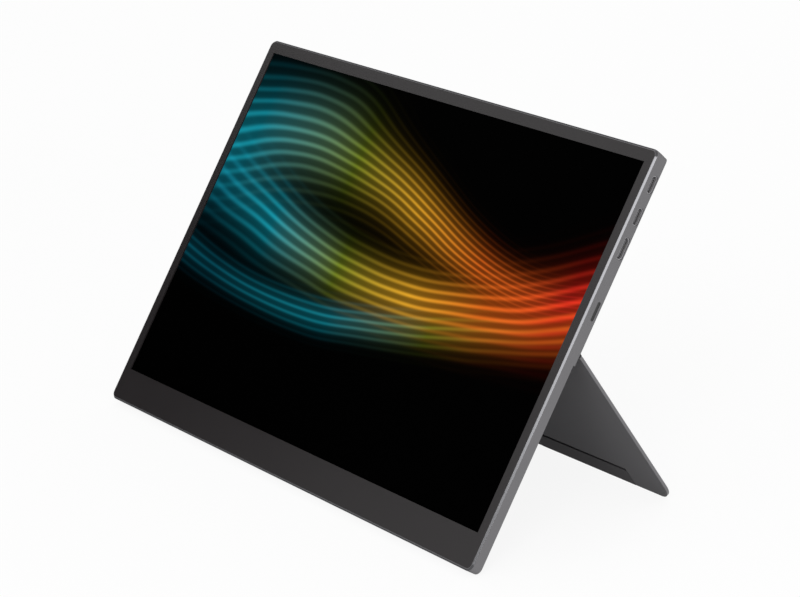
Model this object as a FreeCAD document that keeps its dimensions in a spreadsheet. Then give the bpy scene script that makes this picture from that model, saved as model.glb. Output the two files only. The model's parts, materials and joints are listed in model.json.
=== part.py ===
import FreeCAD, Part
import math
import operator
import os
from types import SimpleNamespace

import Sketcher
from FreeCAD import Placement, Rotation, Vector

# Portable monitor: a slim screen in a metal housing that leans back on a full-width folding stand.
# Every piece is drawn in the display's own frame: x to the right, y into the depth from the front
# face, z up along the panel from its bottom edge.  The stand is drawn folded against the back.
# The last section opens the stand, leans the display back and puts the rubber soles on the floor.

# Driving sizes, lengths in millimetres and angles in degrees
SIZES = {
    # Picture area and the frame around it
    "screen_width": 344.16,
    "screen_height": 193.59,
    "frame_side": 6.82,
    "frame_top": 7.15,
    "chin_height": 18.58,
    # Metal housing
    "corner_radius": 4.0,
    "front_chamfer": 0.8,
    "back_round": 1.5,
    "taper_start": 0.9,
    "taper_drop": 2.4,
    "rim_wall": 1.1,
    "side_wall": 2.0,
    "top_wall": 2.9,
    "back_wall": 1.2,
    "lower_wall": 0.9,
    "trough_wall": 0.7,
    "trough_roof": 1.2,
    "cheek_wall": 2.0,
    "rib_wall": 1.2,
    "rib_pitch": 42.0,
    "rib_count": 7,
    "rib_end_gap": 4.0,
    "cut_overrun": 1.0,
    # Layers of the screen, front to back
    "bezel_thick": 0.7,
    "bezel_gap": 0.1,
    "tape_thick": 0.15,
    "tape_setback": 0.6,
    "cell_thick": 0.8,
    "cell_border": 2.4,
    "cell_ledge": 5.5,
    "film_thick": 0.3,
    "film_border": 1.2,
    "sheet_gap": 0.2,
    "guide_thick": 0.6,
    "reflector_thick": 0.15,
    "tray_thick": 0.5,
    "tray_border": 3.2,
    "tray_ledge": 3.9,
    "foam_thick": 0.7,
    "foam_gap": 0.5,
    "led_height": 1.9,
    "led_inset": 4.0,
    "led_gap": 0.1,
    # Driver board and flat cable behind the chin
    "flex_thick": 0.15,
    "flex_width": 26.0,
    "flex_pitch": 80.0,
    "flex_lap": 1.4,
    "flex_count": 4,
    "driver_length": 300.0,
    "driver_height": 6.0,
    "driver_thick": 0.8,
    "driver_gap": 1.6,
    "cable_width": 14.0,
    "cable_thick": 0.3,
    "cable_gap": 0.05,
    "cable_inset": 78.9,
    "cable_room": 1.0,
    "cable_tail": 16.0,
    "plug_height": 4.0,
    # Hinge between the housing and the stand
    "hinge_height": 115.7,
    "hinge_inset": 68.9,
    "barrel_radius": 1.5,
    "hinge_gap": 0.3,
    "swing_gap": 0.4,
    "pin_radius": 0.8,
    "pin_length": 30.0,
    "pin_end_gap": 0.3,
    "running_gap": 0.05,
    "press_gap": 0.02,
    "knuckle_width": 12.0,
    "washer_thick": 0.5,
    "washer_gap": 0.1,
    "washer_rim": 0.6,
    "bracket_thick": 0.8,
    "bracket_width": 24.0,
    "bracket_height": 9.0,
    "bracket_slot_gap": 0.2,
    "bracket_screw_pitch": 8.0,
    # Folding stand
    "stand_thick": 1.7,
    "stand_gap": 0.2,
    "stand_round": 9.0,
    "stand_top_round": 1.5,
    "stand_edge": 0.3,
    "finger_gap": 12.6,
    "step_drop": 6.3,
    "neck_length": 3.7,
    "neck_thick": 2.0,
    "neck_gap": 0.45,
    "tongue_thick": 0.7,
    "tongue_length": 6.0,
    "tongue_setback": 8.0,
    "lap_gap": 0.05,
    "stand_angle": 64.6,
    # Rubber soles
    "sole_length": 80.0,
    "sole_inset": 30.0,
    "sole_height": 10.2,
    "sole_depth": 1.0,
    "sole_proud": 0.1,
    "sole_reach": 0.25,
    "groove_height": 1.6,
    "base_length": 90.0,
    "base_inset": 18.0,
    "base_height": 5.0,
    "base_rise": 0.4,
    "base_proud": 1.4,
    "base_seat": 0.5,
    "base_round": 0.6,
    "sole_cut": 0.3,
    # Main board in the upper half
    "board_width": 86.0,
    "board_thick": 0.8,
    "board_edge_gap": 0.6,
    "board_gap": 2.2,
    "board_margin": 9.0,
    "notch_gap": 0.2,
    "boss_radius": 2.2,
    "boss_inset": 4.0,
    "boss_socket_inset": 16.0,
    "chip_size": 14.0,
    "chip_thick": 1.0,
    "memory_length": 9.0,
    "memory_height": 7.0,
    "power_chip": 5.0,
    "power_chip_inset": 27.0,
    "small_chip_thick": 0.8,
    "coil_size": 6.0,
    "coil_thick": 1.1,
    "coil_pitch": 9.0,
    # Sockets in the right side wall
    "socket_drop": 16.22,
    "socket_pitch": 16.7,
    "socket_gap": 0.1,
    "socket_inset": 0.3,
    "socket_length": 7.4,
    "shell_wall": 0.3,
    "oval_length": 8.94,
    "oval_height": 3.16,
    "video_length": 11.2,
    "video_height": 3.1,
    "video_chamfer": 1.1,
    "blade_thick": 0.7,
    "blade_margin": 1.1,
    "blade_setback": 1.0,
    # Menu key and its switch
    "key_rise": 7.0,
    "key_length": 9.7,
    "key_height": 1.5,
    "key_gap": 0.1,
    "key_inset": 0.15,
    "key_flange": 0.6,
    "key_lip": 0.9,
    "key_play": 0.05,
    "key_travel": 0.4,
    "switch_length": 6.0,
    "switch_height": 2.4,
    "switch_depth": 3.0,
    "plunger_length": 2.4,
    "plunger_height": 1.0,
    "plunger_reach": 1.0,
    "switch_end_gap": 0.3,
    # Speakers
    "speaker_length": 34.0,
    "speaker_height": 9.5,
    "speaker_gap": 6.0,
    "speaker_round": 2.0,
    "speaker_floor_gap": 0.6,
    "speaker_rim": 1.2,
    "speaker_pocket": 0.8,
    "gasket_thick": 0.3,
    "membrane_thick": 0.4,
    "membrane_gap": 0.1,
    "slot_length": 5.0,
    "slot_width": 1.2,
    "slot_pitch": 3.0,
    "slot_count": 8,
    # Screws
    "screw_radius": 0.8,
    "screw_head_radius": 1.5,
    "screw_head": 0.5,
    "screw_end_gap": 0.25,
    "thread_gap": 0.02,
    "rail_screw_radius": 0.7,
    "rail_screw_head_radius": 1.3,
    "rail_screw_head": 0.35,
    "rail_screw_inset": 24.0,
    "rail_screw_count": 8,
}

# Round-end shares of a slot's width, and places as shares of what carries them
ROUND_END_SHARE = 0.48
CHIP_HEIGHT_SHARE = 0.42
CHIP_SIDE_SHARE = 0.40
MEMORY_HEIGHT_SHARE = 0.68
POWER_HEIGHT_SHARES = (0.18, 0.30)
COIL_HEIGHT_SHARE = 0.88

# Distance under which an edge counts as lying on a plane, for picking edges only
TOUCH = 1e-4

DEPTH_PLANE = "XZ_Plane"
SIDE_PLANE = "YZ_Plane"
SIDES = {"left": -1, "right": 1}
TURN_TO_AXIS = {
    "x": Rotation(Vector(0, 1, 0), 90),
    "y": Rotation(Vector(1, 0, 0), -90),
}

doc = FreeCAD.newDocument("PortableMonitor")


class Size(float):
    """A size of the sheet, or a sum of such sizes, together with the expression that gives it."""

    def __new__(cls, value, text):
        size = super().__new__(cls, value)
        size.text = text
        return size

    def __add__(self, other):
        return combined(self, "+", other)

    def __radd__(self, other):
        return combined(other, "+", self)

    def __sub__(self, other):
        return combined(self, "-", other)

    def __rsub__(self, other):
        return combined(other, "-", self)

    def __mul__(self, other):
        return combined(self, "*", other)

    def __rmul__(self, other):
        return combined(other, "*", self)

    def __truediv__(self, other):
        return combined(self, "/", other)

    def __neg__(self):
        return Size(-float(self), f"(0 - {self.text})")


OPERATIONS = {"+": operator.add, "-": operator.sub, "*": operator.mul, "/": operator.truediv}
ZERO = Size(0.0, "0")


def expression_text(number):
    """The expression of a size, or a plain number as it is written."""
    return number.text if isinstance(number, Size) else repr(number)


def combined(first, sign, second):
    """The sum, difference, product or ratio of two sizes, with its expression."""
    value = OPERATIONS[sign](float(first), float(second))
    return Size(value, f"({expression_text(first)} {sign} {expression_text(second)})")


def make_sheet():
    """Write the driving sizes to a sheet and return them as named sizes."""
    sheet = doc.addObject("Spreadsheet::Sheet", "Sizes")
    for row, (alias, value) in enumerate(SIZES.items(), start=1):
        sheet.set(f"A{row}", alias)
        sheet.set(f"B{row}", str(value))
        sheet.setAlias(f"B{row}", alias)
    doc.recompute()
    named = {alias: Size(value, f"Sizes.{alias}") for alias, value in SIZES.items()}
    return SimpleNamespace(**named)


sizes = make_sheet()

# Outline of the display
half_width = sizes.screen_width / 2 + sizes.frame_side
height = sizes.chin_height + sizes.screen_height + sizes.frame_top
screen_half = sizes.screen_width / 2
screen_low = sizes.chin_height
screen_high = sizes.chin_height + sizes.screen_height
inner_half = half_width - sizes.side_wall

# Depth of each layer: the screen stack, the hinge behind it, then the back wall
cell_front = sizes.bezel_thick + sizes.tape_thick
film_front = cell_front + sizes.cell_thick
guide_front = film_front + sizes.film_thick
reflector_front = guide_front + sizes.guide_thick
tray_front = reflector_front + sizes.reflector_thick
stack_back = tray_front + sizes.tray_thick
trough_inner = stack_back + sizes.foam_thick
trough_floor = trough_inner + sizes.trough_wall
axis_depth = trough_floor + sizes.hinge_gap + sizes.barrel_radius
bracket_front = axis_depth - sizes.bracket_thick / 2
back_inner = axis_depth + sizes.bracket_thick / 2
depth = back_inner + sizes.back_wall
stand_front = depth - sizes.stand_thick
lower_back = stand_front - sizes.stand_gap
lower_inner = lower_back - sizes.lower_wall

# Heights along the panel
step_height = sizes.hinge_height - sizes.step_drop
trough_top = sizes.hinge_height + sizes.barrel_radius + sizes.swing_gap
upper_floor = trough_top + sizes.trough_roof
lower_top = step_height - sizes.trough_wall
stand_top = sizes.hinge_height - sizes.neck_length
stand_foot = sizes.finger_gap
sole_low = stand_foot - sizes.sole_reach
tongue_low = stand_top - sizes.tongue_length

# Hinges, left and right of the middle
hinge_across = half_width - sizes.hinge_inset
notch_half = sizes.knuckle_width / 2 + sizes.washer_thick + sizes.washer_gap
rail_half = half_width - sizes.cheek_wall - sizes.neck_gap
tongue_half = rail_half - sizes.tongue_setback
tongue_front = stand_front + (sizes.stand_thick - sizes.tongue_thick) / 2
tongue_back = tongue_front + sizes.tongue_thick

# Main board and what sits on it
port_centre = (stack_back + back_inner) / 2
board_front = port_centre - sizes.board_thick / 2
board_back = port_centre + sizes.board_thick / 2
board_right = inner_half - sizes.board_edge_gap
board_left = board_right - sizes.board_width
bracket_top = upper_floor + sizes.bracket_height
board_low = bracket_top + sizes.board_gap
key_centre = board_low + sizes.key_rise
socket_centres = [height - sizes.socket_drop - sizes.socket_pitch * place for place in range(3)]
board_high = socket_centres[0] + sizes.board_margin
board_rise = board_high - board_low
socket_front = half_width - sizes.socket_inset
socket_back = socket_front - sizes.socket_length
key_wide = sizes.key_length / 2 + sizes.key_lip
key_deep = sizes.key_height / 2 + sizes.key_lip

# Flat cable from the driver board up to the main board
cable_across = half_width - sizes.cable_inset
cable_front = stack_back + sizes.cable_gap
cable_back = cable_front + sizes.cable_thick
driver_front = film_front + sizes.flex_thick
driver_back = driver_front + sizes.driver_thick
driver_high = screen_low - sizes.cell_ledge - sizes.driver_gap
driver_low = driver_high - sizes.driver_height
cable_low = driver_low
cable_high = board_low + sizes.cable_tail

pieces = []


def bind(thing, path, size):
    """Tie one property of a document object to the sheet."""
    thing.setExpression(path, expression_text(size))


def new_body(label, frame="display"):
    """Start a sub-part; its frame says whether it rides with the display or the stand."""
    body = doc.addObject("PartDesign::Body", label)
    body.Label = label
    body.AllowCompound = True
    pieces.append((body, frame))
    return body


def origin_plane(body, role):
    """One of the body's own origin planes or axes."""
    return next(feature for feature in body.Origin.OriginFeatures if feature.Role == role)


def new_sketch(body, name, role, level=ZERO):
    """A sketch on an origin plane, moved along the body's y or x to the given level."""
    sketch = body.newObject("Sketcher::SketchObject", name)
    sketch.AttachmentSupport = [(origin_plane(body, role), "")]
    sketch.MapMode = "FlatFace"
    offset = -level if role == DEPTH_PLANE else level
    bind(sketch, "AttachmentOffset.Base.z", offset)
    return sketch


def place_point(sketch, kinds, geometry, end, places):
    """Fix a point of the sketch at sizes measured from the sketch's origin."""
    for kind, place in zip(kinds, places):
        index = sketch.addConstraint(Sketcher.Constraint(kind, -1, 1, geometry, end, float(place)))
        bind(sketch, f"Constraints[{index}]", place)


def draw_polygon(sketch, points):
    """A closed outline of straight lines through the given corners."""
    corners = [Vector(across, up, 0) for across, up in points]
    first = sketch.GeometryCount
    count = len(corners)
    for start, finish in zip(corners, corners[1:] + corners[:1]):
        sketch.addGeometry(Part.LineSegment(start, finish))
    for place in range(count):
        following = first + (place + 1) % count
        sketch.addConstraint(Sketcher.Constraint("Coincident", first + place, 2, following, 1))
    for place, point in enumerate(points):
        place_point(sketch, ("DistanceX", "DistanceY"), first + place, 1, point)


def draw_rounded_rectangle(sketch, across, up, radius):
    """A rectangle with four equal round corners, held by its sides and its radius."""
    left, right = across
    low, high = up
    first = sketch.GeometryCount
    inner_left, inner_right = left + radius, right - radius
    inner_low, inner_high = low + radius, high - radius
    for start, finish in (
        ((inner_left, low), (inner_right, low)),
        ((right, inner_low), (right, inner_high)),
        ((inner_right, high), (inner_left, high)),
        ((left, inner_high), (left, inner_low)),
    ):
        sketch.addGeometry(Part.LineSegment(Vector(*start, 0), Vector(*finish, 0)))
    quarter = math.pi / 2
    centres = (
        (inner_right, inner_low),
        (inner_right, inner_high),
        (inner_left, inner_high),
        (inner_left, inner_low),
    )
    for turn, centre in enumerate(centres, start=-1):
        circle = Part.Circle(Vector(*centre, 0), Vector(0, 0, 1), float(radius))
        sketch.addGeometry(Part.ArcOfCircle(circle, turn * quarter, (turn + 1) * quarter))
    for side in range(4):
        line, arc, following = first + side, first + 4 + side, first + (side + 1) % 4
        sketch.addConstraint(Sketcher.Constraint("Tangent", line, 2, arc, 1))
        sketch.addConstraint(Sketcher.Constraint("Tangent", arc, 2, following, 1))
    for line, kind in enumerate(("Horizontal", "Vertical", "Horizontal", "Vertical")):
        sketch.addConstraint(Sketcher.Constraint(kind, first + line))
    for arc in range(3):
        sketch.addConstraint(Sketcher.Constraint("Equal", first + 4 + arc, first + 5 + arc))
    index = sketch.addConstraint(Sketcher.Constraint("Radius", first + 4, float(radius)))
    bind(sketch, f"Constraints[{index}]", radius)
    sides = (("DistanceY", low), ("DistanceX", right), ("DistanceY", high), ("DistanceX", left))
    for line, (kind, place) in enumerate(sides):
        place_point(sketch, (kind,), first + line, 1, (place,))


def draw_circle(sketch, centre, radius):
    """A circle held by its centre and radius."""
    index = sketch.addGeometry(Part.Circle(Vector(*centre, 0), Vector(0, 0, 1), float(radius)))
    place_point(sketch, ("DistanceX", "DistanceY"), index, 3, centre)
    constraint = sketch.addConstraint(Sketcher.Constraint("Radius", index, float(radius)))
    bind(sketch, f"Constraints[{constraint}]", radius)


def pad(body, sketch, length, both_ways=False):
    """Thicken a sketch: towards the back from a depth plane, to the right from a side plane."""
    feature = body.newObject("PartDesign::Pad", sketch.Name + "_pad")
    feature.Profile = sketch
    bind(feature, "Length", length)
    feature.SideType = "Symmetric" if both_ways else "One side"
    feature.Reversed = sketch.AttachmentSupport[0][0].Role == DEPTH_PLANE
    doc.recompute()
    return feature


def pocket(body, sketch, length, towards_front=False):
    """Cut a sketch into the body: from the front backwards, or from the back when turned."""
    doc.recompute()
    before = body.Shape.Volume
    feature = body.newObject("PartDesign::Pocket", sketch.Name + "_pocket")
    feature.Profile = sketch
    bind(feature, "Length", length)
    feature.Reversed = towards_front
    doc.recompute()
    if body.Shape.Volume >= before:
        raise RuntimeError(f"{feature.Name} cuts nothing")
    return feature


def box_feature(body, kind, name, across, deep, up):
    """A box feature between two sizes along each axis."""
    feature = body.newObject(f"PartDesign::{kind}Box", name)
    for path, axis, span in (("Length", "x", across), ("Width", "y", deep), ("Height", "z", up)):
        bind(feature, path, span[1] - span[0])
        bind(feature, f"Placement.Base.{axis}", span[0])
    return feature


def add_box(body, name, across, deep, up):
    """Material between two sizes along each axis."""
    return box_feature(body, "Additive", name, across, deep, up)


def cut_box(body, name, across, deep, up):
    """A square-cornered cut between two sizes along each axis."""
    return box_feature(body, "Subtractive", name, across, deep, up)


def cylinder_feature(body, kind, name, axis, start, length, radius):
    """A cylinder feature along x or y from its start point."""
    feature = body.newObject(f"PartDesign::{kind}Cylinder", name)
    feature.Placement = Placement(Vector(), TURN_TO_AXIS[axis])
    bind(feature, "Radius", radius)
    bind(feature, "Height", length)
    for letter, place in zip("xyz", start):
        bind(feature, f"Placement.Base.{letter}", place)
    return feature


def add_rod(body, name, axis, start, length, radius):
    """A round rod along x or y."""
    return cylinder_feature(body, "Additive", name, axis, start, length, radius)


def cut_bore(body, name, axis, start, length, radius):
    """A round hole along x or y."""
    return cylinder_feature(body, "Subtractive", name, axis, start, length, radius)


def mirrored(body, features, name):
    """Repeat features on the other side of the middle plane."""
    feature = body.newObject("PartDesign::Mirrored", name)
    feature.Originals = features
    feature.MirrorPlane = (origin_plane(body, SIDE_PLANE), [""])
    body.Tip = feature
    doc.recompute()
    return feature


def row_along(body, features, name, pitch, count):
    """Repeat features along x at a steady pitch."""
    feature = body.newObject("PartDesign::LinearPattern", name)
    feature.Originals = features
    feature.Direction = (origin_plane(body, "X_Axis"), [""])
    bind(feature, "Length", pitch * (count - 1))
    bind(feature, "Occurrences", count)
    body.Tip = feature
    doc.recompute()
    return feature


def edges_on(feature, axis, place):
    """Names of the edges of a feature that lie wholly at one place along an axis."""
    names = []
    for number, edge in enumerate(feature.Shape.Edges, start=1):
        box = edge.BoundBox
        low, high = getattr(box, f"{axis}Min"), getattr(box, f"{axis}Max")
        if abs(low - place) < TOUCH and abs(high - place) < TOUCH:
            names.append(f"Edge{number}")
    return names


def chamfer(body, base, names, size):
    """Bevel the named edges of a feature."""
    feature = body.newObject("PartDesign::Chamfer", base.Name + "_chamfer")
    feature.Base = (base, names)
    bind(feature, "Size", size)
    doc.recompute()
    return feature


def fillet(body, base, names, radius):
    """Round the named edges of a feature."""
    feature = body.newObject("PartDesign::Fillet", base.Name + "_fillet")
    feature.Base = (base, names)
    bind(feature, "Radius", radius)
    doc.recompute()
    return feature


def about(centre, half):
    """The two ends of a span around its centre."""
    return (centre - half, centre + half)


def oval_outline(sketch, centre, length, across):
    """A round-ended slot on a side plane, long along the panel."""
    draw_rounded_rectangle(
        sketch, about(port_centre, across / 2), about(centre, length / 2), across * ROUND_END_SHARE
    )


def video_outline(sketch, centre, grow):
    """The video socket's outline: a rectangle with its two back corners cut, grown evenly."""
    front, back = about(port_centre, sizes.video_height / 2 + grow)
    low, high = about(centre, sizes.video_length / 2 + grow)
    cut = sizes.video_chamfer
    points = [
        (front, low), (front, high), (back - cut, high),
        (back, high - cut), (back, low + cut), (back - cut, low),
    ]
    draw_polygon(sketch, points)


def board_screw_places():
    """Centres of the screws near the main board's corners."""
    across = (board_left + sizes.boss_inset, board_right - sizes.boss_socket_inset)
    up = (board_low + sizes.boss_inset, board_high - sizes.boss_inset)
    return [(x, z) for x in across for z in up]


def bracket_screw_places(side):
    """Centres of the screws through one hinge bracket."""
    centre = hinge_across * side
    up = upper_floor + sizes.bracket_height / 2
    return [(centre + sizes.bracket_screw_pitch * place, up) for place in (-1, 0, 1)]


def rail_screw_places():
    """Centres of the screws along the stand's rail, kept off the hinges by their pitch."""
    first = -rail_half + sizes.rail_screw_inset
    pitch = (rail_half - sizes.rail_screw_inset) * 2 / (sizes.rail_screw_count - 1)
    up = stand_top - sizes.tongue_length / 2
    return [(first + pitch * place, up) for place in range(int(sizes.rail_screw_count))]


def speaker_span(side):
    """The two ends of a speaker along x, outboard of its hinge bracket."""
    near = hinge_across + sizes.bracket_width / 2 + sizes.speaker_gap
    far = near + sizes.speaker_length
    return (near, far) if side > 0 else (-far, -near)


screw_hole = sizes.screw_radius + sizes.thread_gap
rail_screw_hole = sizes.rail_screw_radius + sizes.thread_gap
speaker_low = upper_floor + sizes.speaker_floor_gap
speaker_up = (speaker_low, speaker_low + sizes.speaker_height)
speaker_back = back_inner - sizes.gasket_thick
speaker_front = stack_back + sizes.gasket_thick


# Metal housing

def rear_housing():
    """The metal shell: rim, side walls, thick upper back, thin lower back and the hinge trough."""
    body = new_body("rear_housing")
    outline = new_sketch(body, "housing_outline", DEPTH_PLANE)
    draw_rounded_rectangle(outline, (-half_width, half_width), (ZERO, height), sizes.corner_radius)
    block = pad(body, outline, depth)
    front = chamfer(body, block, edges_on(block, "Y", 0), sizes.front_chamfer)
    fillet(body, front, edges_on(front, "Y", float(depth)), sizes.back_round)
    taper_top(body)
    hollow_housing(body)
    cut_stand_room(body)
    add_housing_ribs(body)
    add_board_bosses(body)
    cut_side_openings(body)
    for name, side in SIDES.items():
        cut_hinge_holes(body, name, side)
        cut_speaker_slots(body, name, side)
    cut_sole_seats(body)


def taper_top(body):
    """Slope the top wall down towards the back, behind the front edge."""
    over = sizes.cut_overrun
    sketch = new_sketch(body, "top_taper", SIDE_PLANE, half_width + over)
    low = height - sizes.taper_drop
    draw_polygon(sketch, [
        (sizes.taper_start, height),
        (depth, low),
        (depth + over, low),
        (depth + over, height + over),
        (sizes.taper_start, height + over),
    ])
    pocket(body, sketch, half_width * 2 + over * 2)


def hollow_housing(body):
    """Hollow the block from the front: bezel seat, thin floor by the hinge, lower and upper rooms."""
    rooms = (
        ("bezel_seat", sizes.rim_wall, sizes.rim_wall, height - sizes.rim_wall, sizes.bezel_thick),
        ("stack_room", sizes.side_wall, sizes.side_wall, height - sizes.side_wall, trough_inner),
        ("lower_room", sizes.side_wall, sizes.side_wall, lower_top, lower_inner),
        ("upper_room", sizes.side_wall, upper_floor, height - sizes.top_wall, back_inner),
    )
    for name, wall, low, high, reach in rooms:
        sketch = new_sketch(body, name, DEPTH_PLANE)
        radius = sizes.corner_radius - wall
        draw_rounded_rectangle(sketch, (wall - half_width, half_width - wall), (low, high), radius)
        pocket(body, sketch, reach)


def cut_stand_room(body):
    """Cut the lower back away for the folded stand, and the trough for its hinge rail."""
    over = sizes.cut_overrun
    cut_box(
        body, "stand_recess", (-half_width - over, half_width + over),
        (lower_back, depth + over), (-over, step_height),
    )
    trough_half = half_width - sizes.cheek_wall
    cut_box(
        body, "hinge_trough", (-trough_half, trough_half),
        (trough_floor, depth + over), (step_height, trough_top),
    )


def add_housing_ribs(body):
    """Upright ribs that carry the screen's tray in the lower half, with a channel for the cable."""
    reach = sizes.rib_pitch * (sizes.rib_count - 1) / 2
    up = (screen_low + sizes.rib_end_gap, lower_top - sizes.rib_end_gap)
    rib = add_box(
        body, "screen_rib", about(-reach, sizes.rib_wall / 2),
        (stack_back, lower_inner + sizes.lower_wall / 2), up,
    )
    row_along(body, [rib], "screen_ribs", sizes.rib_pitch, sizes.rib_count)
    channel = sizes.cable_width / 2 + sizes.cable_room
    cut_box(body, "cable_channel", about(cable_across, channel), (stack_back, lower_inner), up)


def add_board_bosses(body):
    """Screw bosses that carry the main board on the upper back wall."""
    for number, (across, up) in enumerate(board_screw_places()):
        start = (across, board_back, up)
        length = back_inner - board_back + sizes.back_wall / 2
        add_rod(body, f"board_boss_{number}", "y", start, length, sizes.boss_radius)
        hole = back_inner - board_back
        cut_bore(body, f"board_hole_{number}", "y", start, hole, screw_hole)


def cut_side_openings(body):
    """Openings in the right wall: two oval sockets, the video socket and the menu key."""
    level = half_width + sizes.cut_overrun
    reach = sizes.side_wall + sizes.cut_overrun * 2
    for number, centre in enumerate(socket_centres[:2]):
        sketch = new_sketch(body, f"oval_opening_{number}", SIDE_PLANE, level)
        gap = sizes.socket_gap * 2
        oval_outline(sketch, centre, sizes.oval_length + gap, sizes.oval_height + gap)
        pocket(body, sketch, reach)
    sketch = new_sketch(body, "video_opening", SIDE_PLANE, level)
    video_outline(sketch, socket_centres[2], sizes.socket_gap)
    pocket(body, sketch, reach)
    sketch = new_sketch(body, "key_opening", SIDE_PLANE, level)
    gap = sizes.key_gap * 2
    oval_outline(sketch, key_centre, sizes.key_length + gap, sizes.key_height + gap)
    pocket(body, sketch, reach)


def cut_hinge_holes(body, name, side):
    """The slot that lets a hinge bracket through the trough's roof, and its screw holes."""
    half = sizes.knuckle_width / 2 + sizes.bracket_slot_gap
    over = sizes.trough_roof / 2
    cut_box(
        body, f"bracket_slot_{name}", about(hinge_across * side, half),
        (bracket_front - sizes.bracket_slot_gap, back_inner), (trough_top - over, upper_floor + over),
    )
    for number, (across, up) in enumerate(bracket_screw_places(side)):
        start = (across, back_inner - sizes.cut_overrun, up)
        length = sizes.cut_overrun + sizes.back_wall - sizes.screw_end_gap
        cut_bore(body, f"hinge_hole_{name}_{number}", "y", start, length, screw_hole)


def cut_speaker_slots(body, name, side):
    """A row of sound slots through the back wall behind one speaker."""
    near, far = speaker_span(side)
    pitch = sizes.slot_pitch
    first = (near + far) / 2 - pitch * (sizes.slot_count - 1) / 2
    middle = (speaker_up[0] + speaker_up[1]) / 2
    sketch = new_sketch(body, f"sound_slot_{name}", DEPTH_PLANE, depth)
    draw_rounded_rectangle(
        sketch, about(first, sizes.slot_width / 2), about(middle, sizes.slot_length / 2),
        sizes.slot_width * ROUND_END_SHARE,
    )
    slot = pocket(body, sketch, sizes.back_wall, towards_front=True)
    row_along(body, [slot], f"sound_slots_{name}", pitch, sizes.slot_count)


def base_span():
    """The two ends of the right base sole along x."""
    far = half_width - sizes.base_inset
    return (far - sizes.base_length, far)


def cut_sole_seats(body):
    """Shallow seats for the two base soles along the lower back edge."""
    deep = (lower_back - sizes.base_seat, lower_back + sizes.cut_overrun)
    up = (sizes.base_rise, sizes.base_rise + sizes.base_height)
    seat = cut_box(body, "base_seat", base_span(), deep, up)
    mirrored(body, [seat], "base_seats")


# Screen stack

def framed_sheet(label, outer, inner, front, thick, radius=None):
    """A flat frame: an outer rectangle with a window cut through it."""
    body = new_body(label)
    sketch = new_sketch(body, f"{label}_outline", DEPTH_PLANE, front)
    if radius is None:
        draw_polygon(sketch, rectangle_points(*outer))
    else:
        draw_rounded_rectangle(sketch, outer[0], outer[1], radius)
    pad(body, sketch, thick)
    window = new_sketch(body, f"{label}_window", DEPTH_PLANE, front)
    draw_polygon(window, rectangle_points(*inner))
    pocket(body, window, thick)


def rectangle_points(across, up):
    """The four corners of a rectangle between two sizes each way."""
    return [(across[0], up[0]), (across[1], up[0]), (across[1], up[1]), (across[0], up[1])]


def around_screen(side, low, high):
    """A rectangle that passes the picture area by the given borders."""
    half = screen_half + side
    return ((-half, half), (screen_low - low, screen_high + high))


def flat_sheet(label, area, front, back):
    """A plain rectangular sheet of the stack."""
    body = new_body(label)
    add_box(body, f"{label}_sheet", area[0], (front, back), area[1])


def screen_stack():
    """Bezel, tape, display cell and the layers of its backlight, front to back."""
    wall = sizes.rim_wall + sizes.bezel_gap
    framed_sheet(
        "front_bezel", ((wall - half_width, half_width - wall), (wall, height - wall)),
        around_screen(ZERO, ZERO, ZERO), ZERO, sizes.bezel_thick, sizes.corner_radius - wall,
    )
    setback = sizes.tape_setback
    border = sizes.cell_border
    ledge = sizes.cell_ledge
    gap = sizes.sheet_gap
    framed_sheet(
        "bezel_tape", around_screen(border - gap, ledge - gap, border - gap),
        around_screen(setback, setback, setback), sizes.bezel_thick, sizes.tape_thick,
    )
    flat_sheet("lcd_cell", around_screen(border, ledge, border), cell_front, film_front)
    film = around_screen(sizes.film_border, ZERO, sizes.film_border)
    flat_sheet("optical_films", film, film_front, guide_front)
    flat_sheet("light_guide", film, guide_front, reflector_front)
    flat_sheet("reflector_sheet", film, reflector_front, tray_front)
    gap = sizes.film_border + sizes.sheet_gap
    led_low = sizes.led_gap * 2 + sizes.led_height
    outer = around_screen(sizes.tray_border, sizes.tray_ledge, sizes.tray_border)
    inner = around_screen(gap, led_low, gap)
    framed_sheet("backlight_frame", outer, inner, film_front, tray_front - film_front)
    flat_sheet("backlight_tray", outer, tray_front, stack_back)
    bar_half = screen_half - sizes.led_inset
    bar_high = screen_low - sizes.led_gap
    bar = ((-bar_half, bar_half), (bar_high - sizes.led_height, bar_high))
    flat_sheet("led_bar", bar, guide_front, reflector_front)


def driver_pieces():
    """The board below the screen, its film flexes, the flat cable and the foam beside it."""
    body = new_body("panel_driver_board")
    half = sizes.driver_length / 2
    add_box(body, "driver_plate", (-half, half), (driver_front, driver_back), (driver_low, driver_high))
    body = new_body("driver_flexes")
    reach = sizes.flex_pitch * (sizes.flex_count - 1) / 2
    flex_high = screen_low - sizes.cell_ledge + sizes.flex_lap
    flex = add_box(
        body, "flex_film", about(-reach, sizes.flex_width / 2),
        (film_front, driver_front), (driver_high - sizes.flex_lap, flex_high),
    )
    row_along(body, [flex], "flex_films", sizes.flex_pitch, sizes.flex_count)
    cable_span = about(cable_across, sizes.cable_width / 2)
    body = new_body("panel_cable")
    add_box(body, "cable_strip", cable_span, (cable_front, cable_back), (cable_low, cable_high))
    body = new_body("foam_strips")
    channel = sizes.cable_width / 2 + sizes.cable_room
    deep = (stack_back, trough_inner)
    up = (step_height + sizes.foam_gap, trough_top - sizes.foam_gap)
    end = inner_half - sizes.foam_gap
    add_box(body, "foam_left", (-end, cable_across - channel), deep, up)
    add_box(body, "foam_right", (cable_across + channel, end), deep, up)


# Main board

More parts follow.
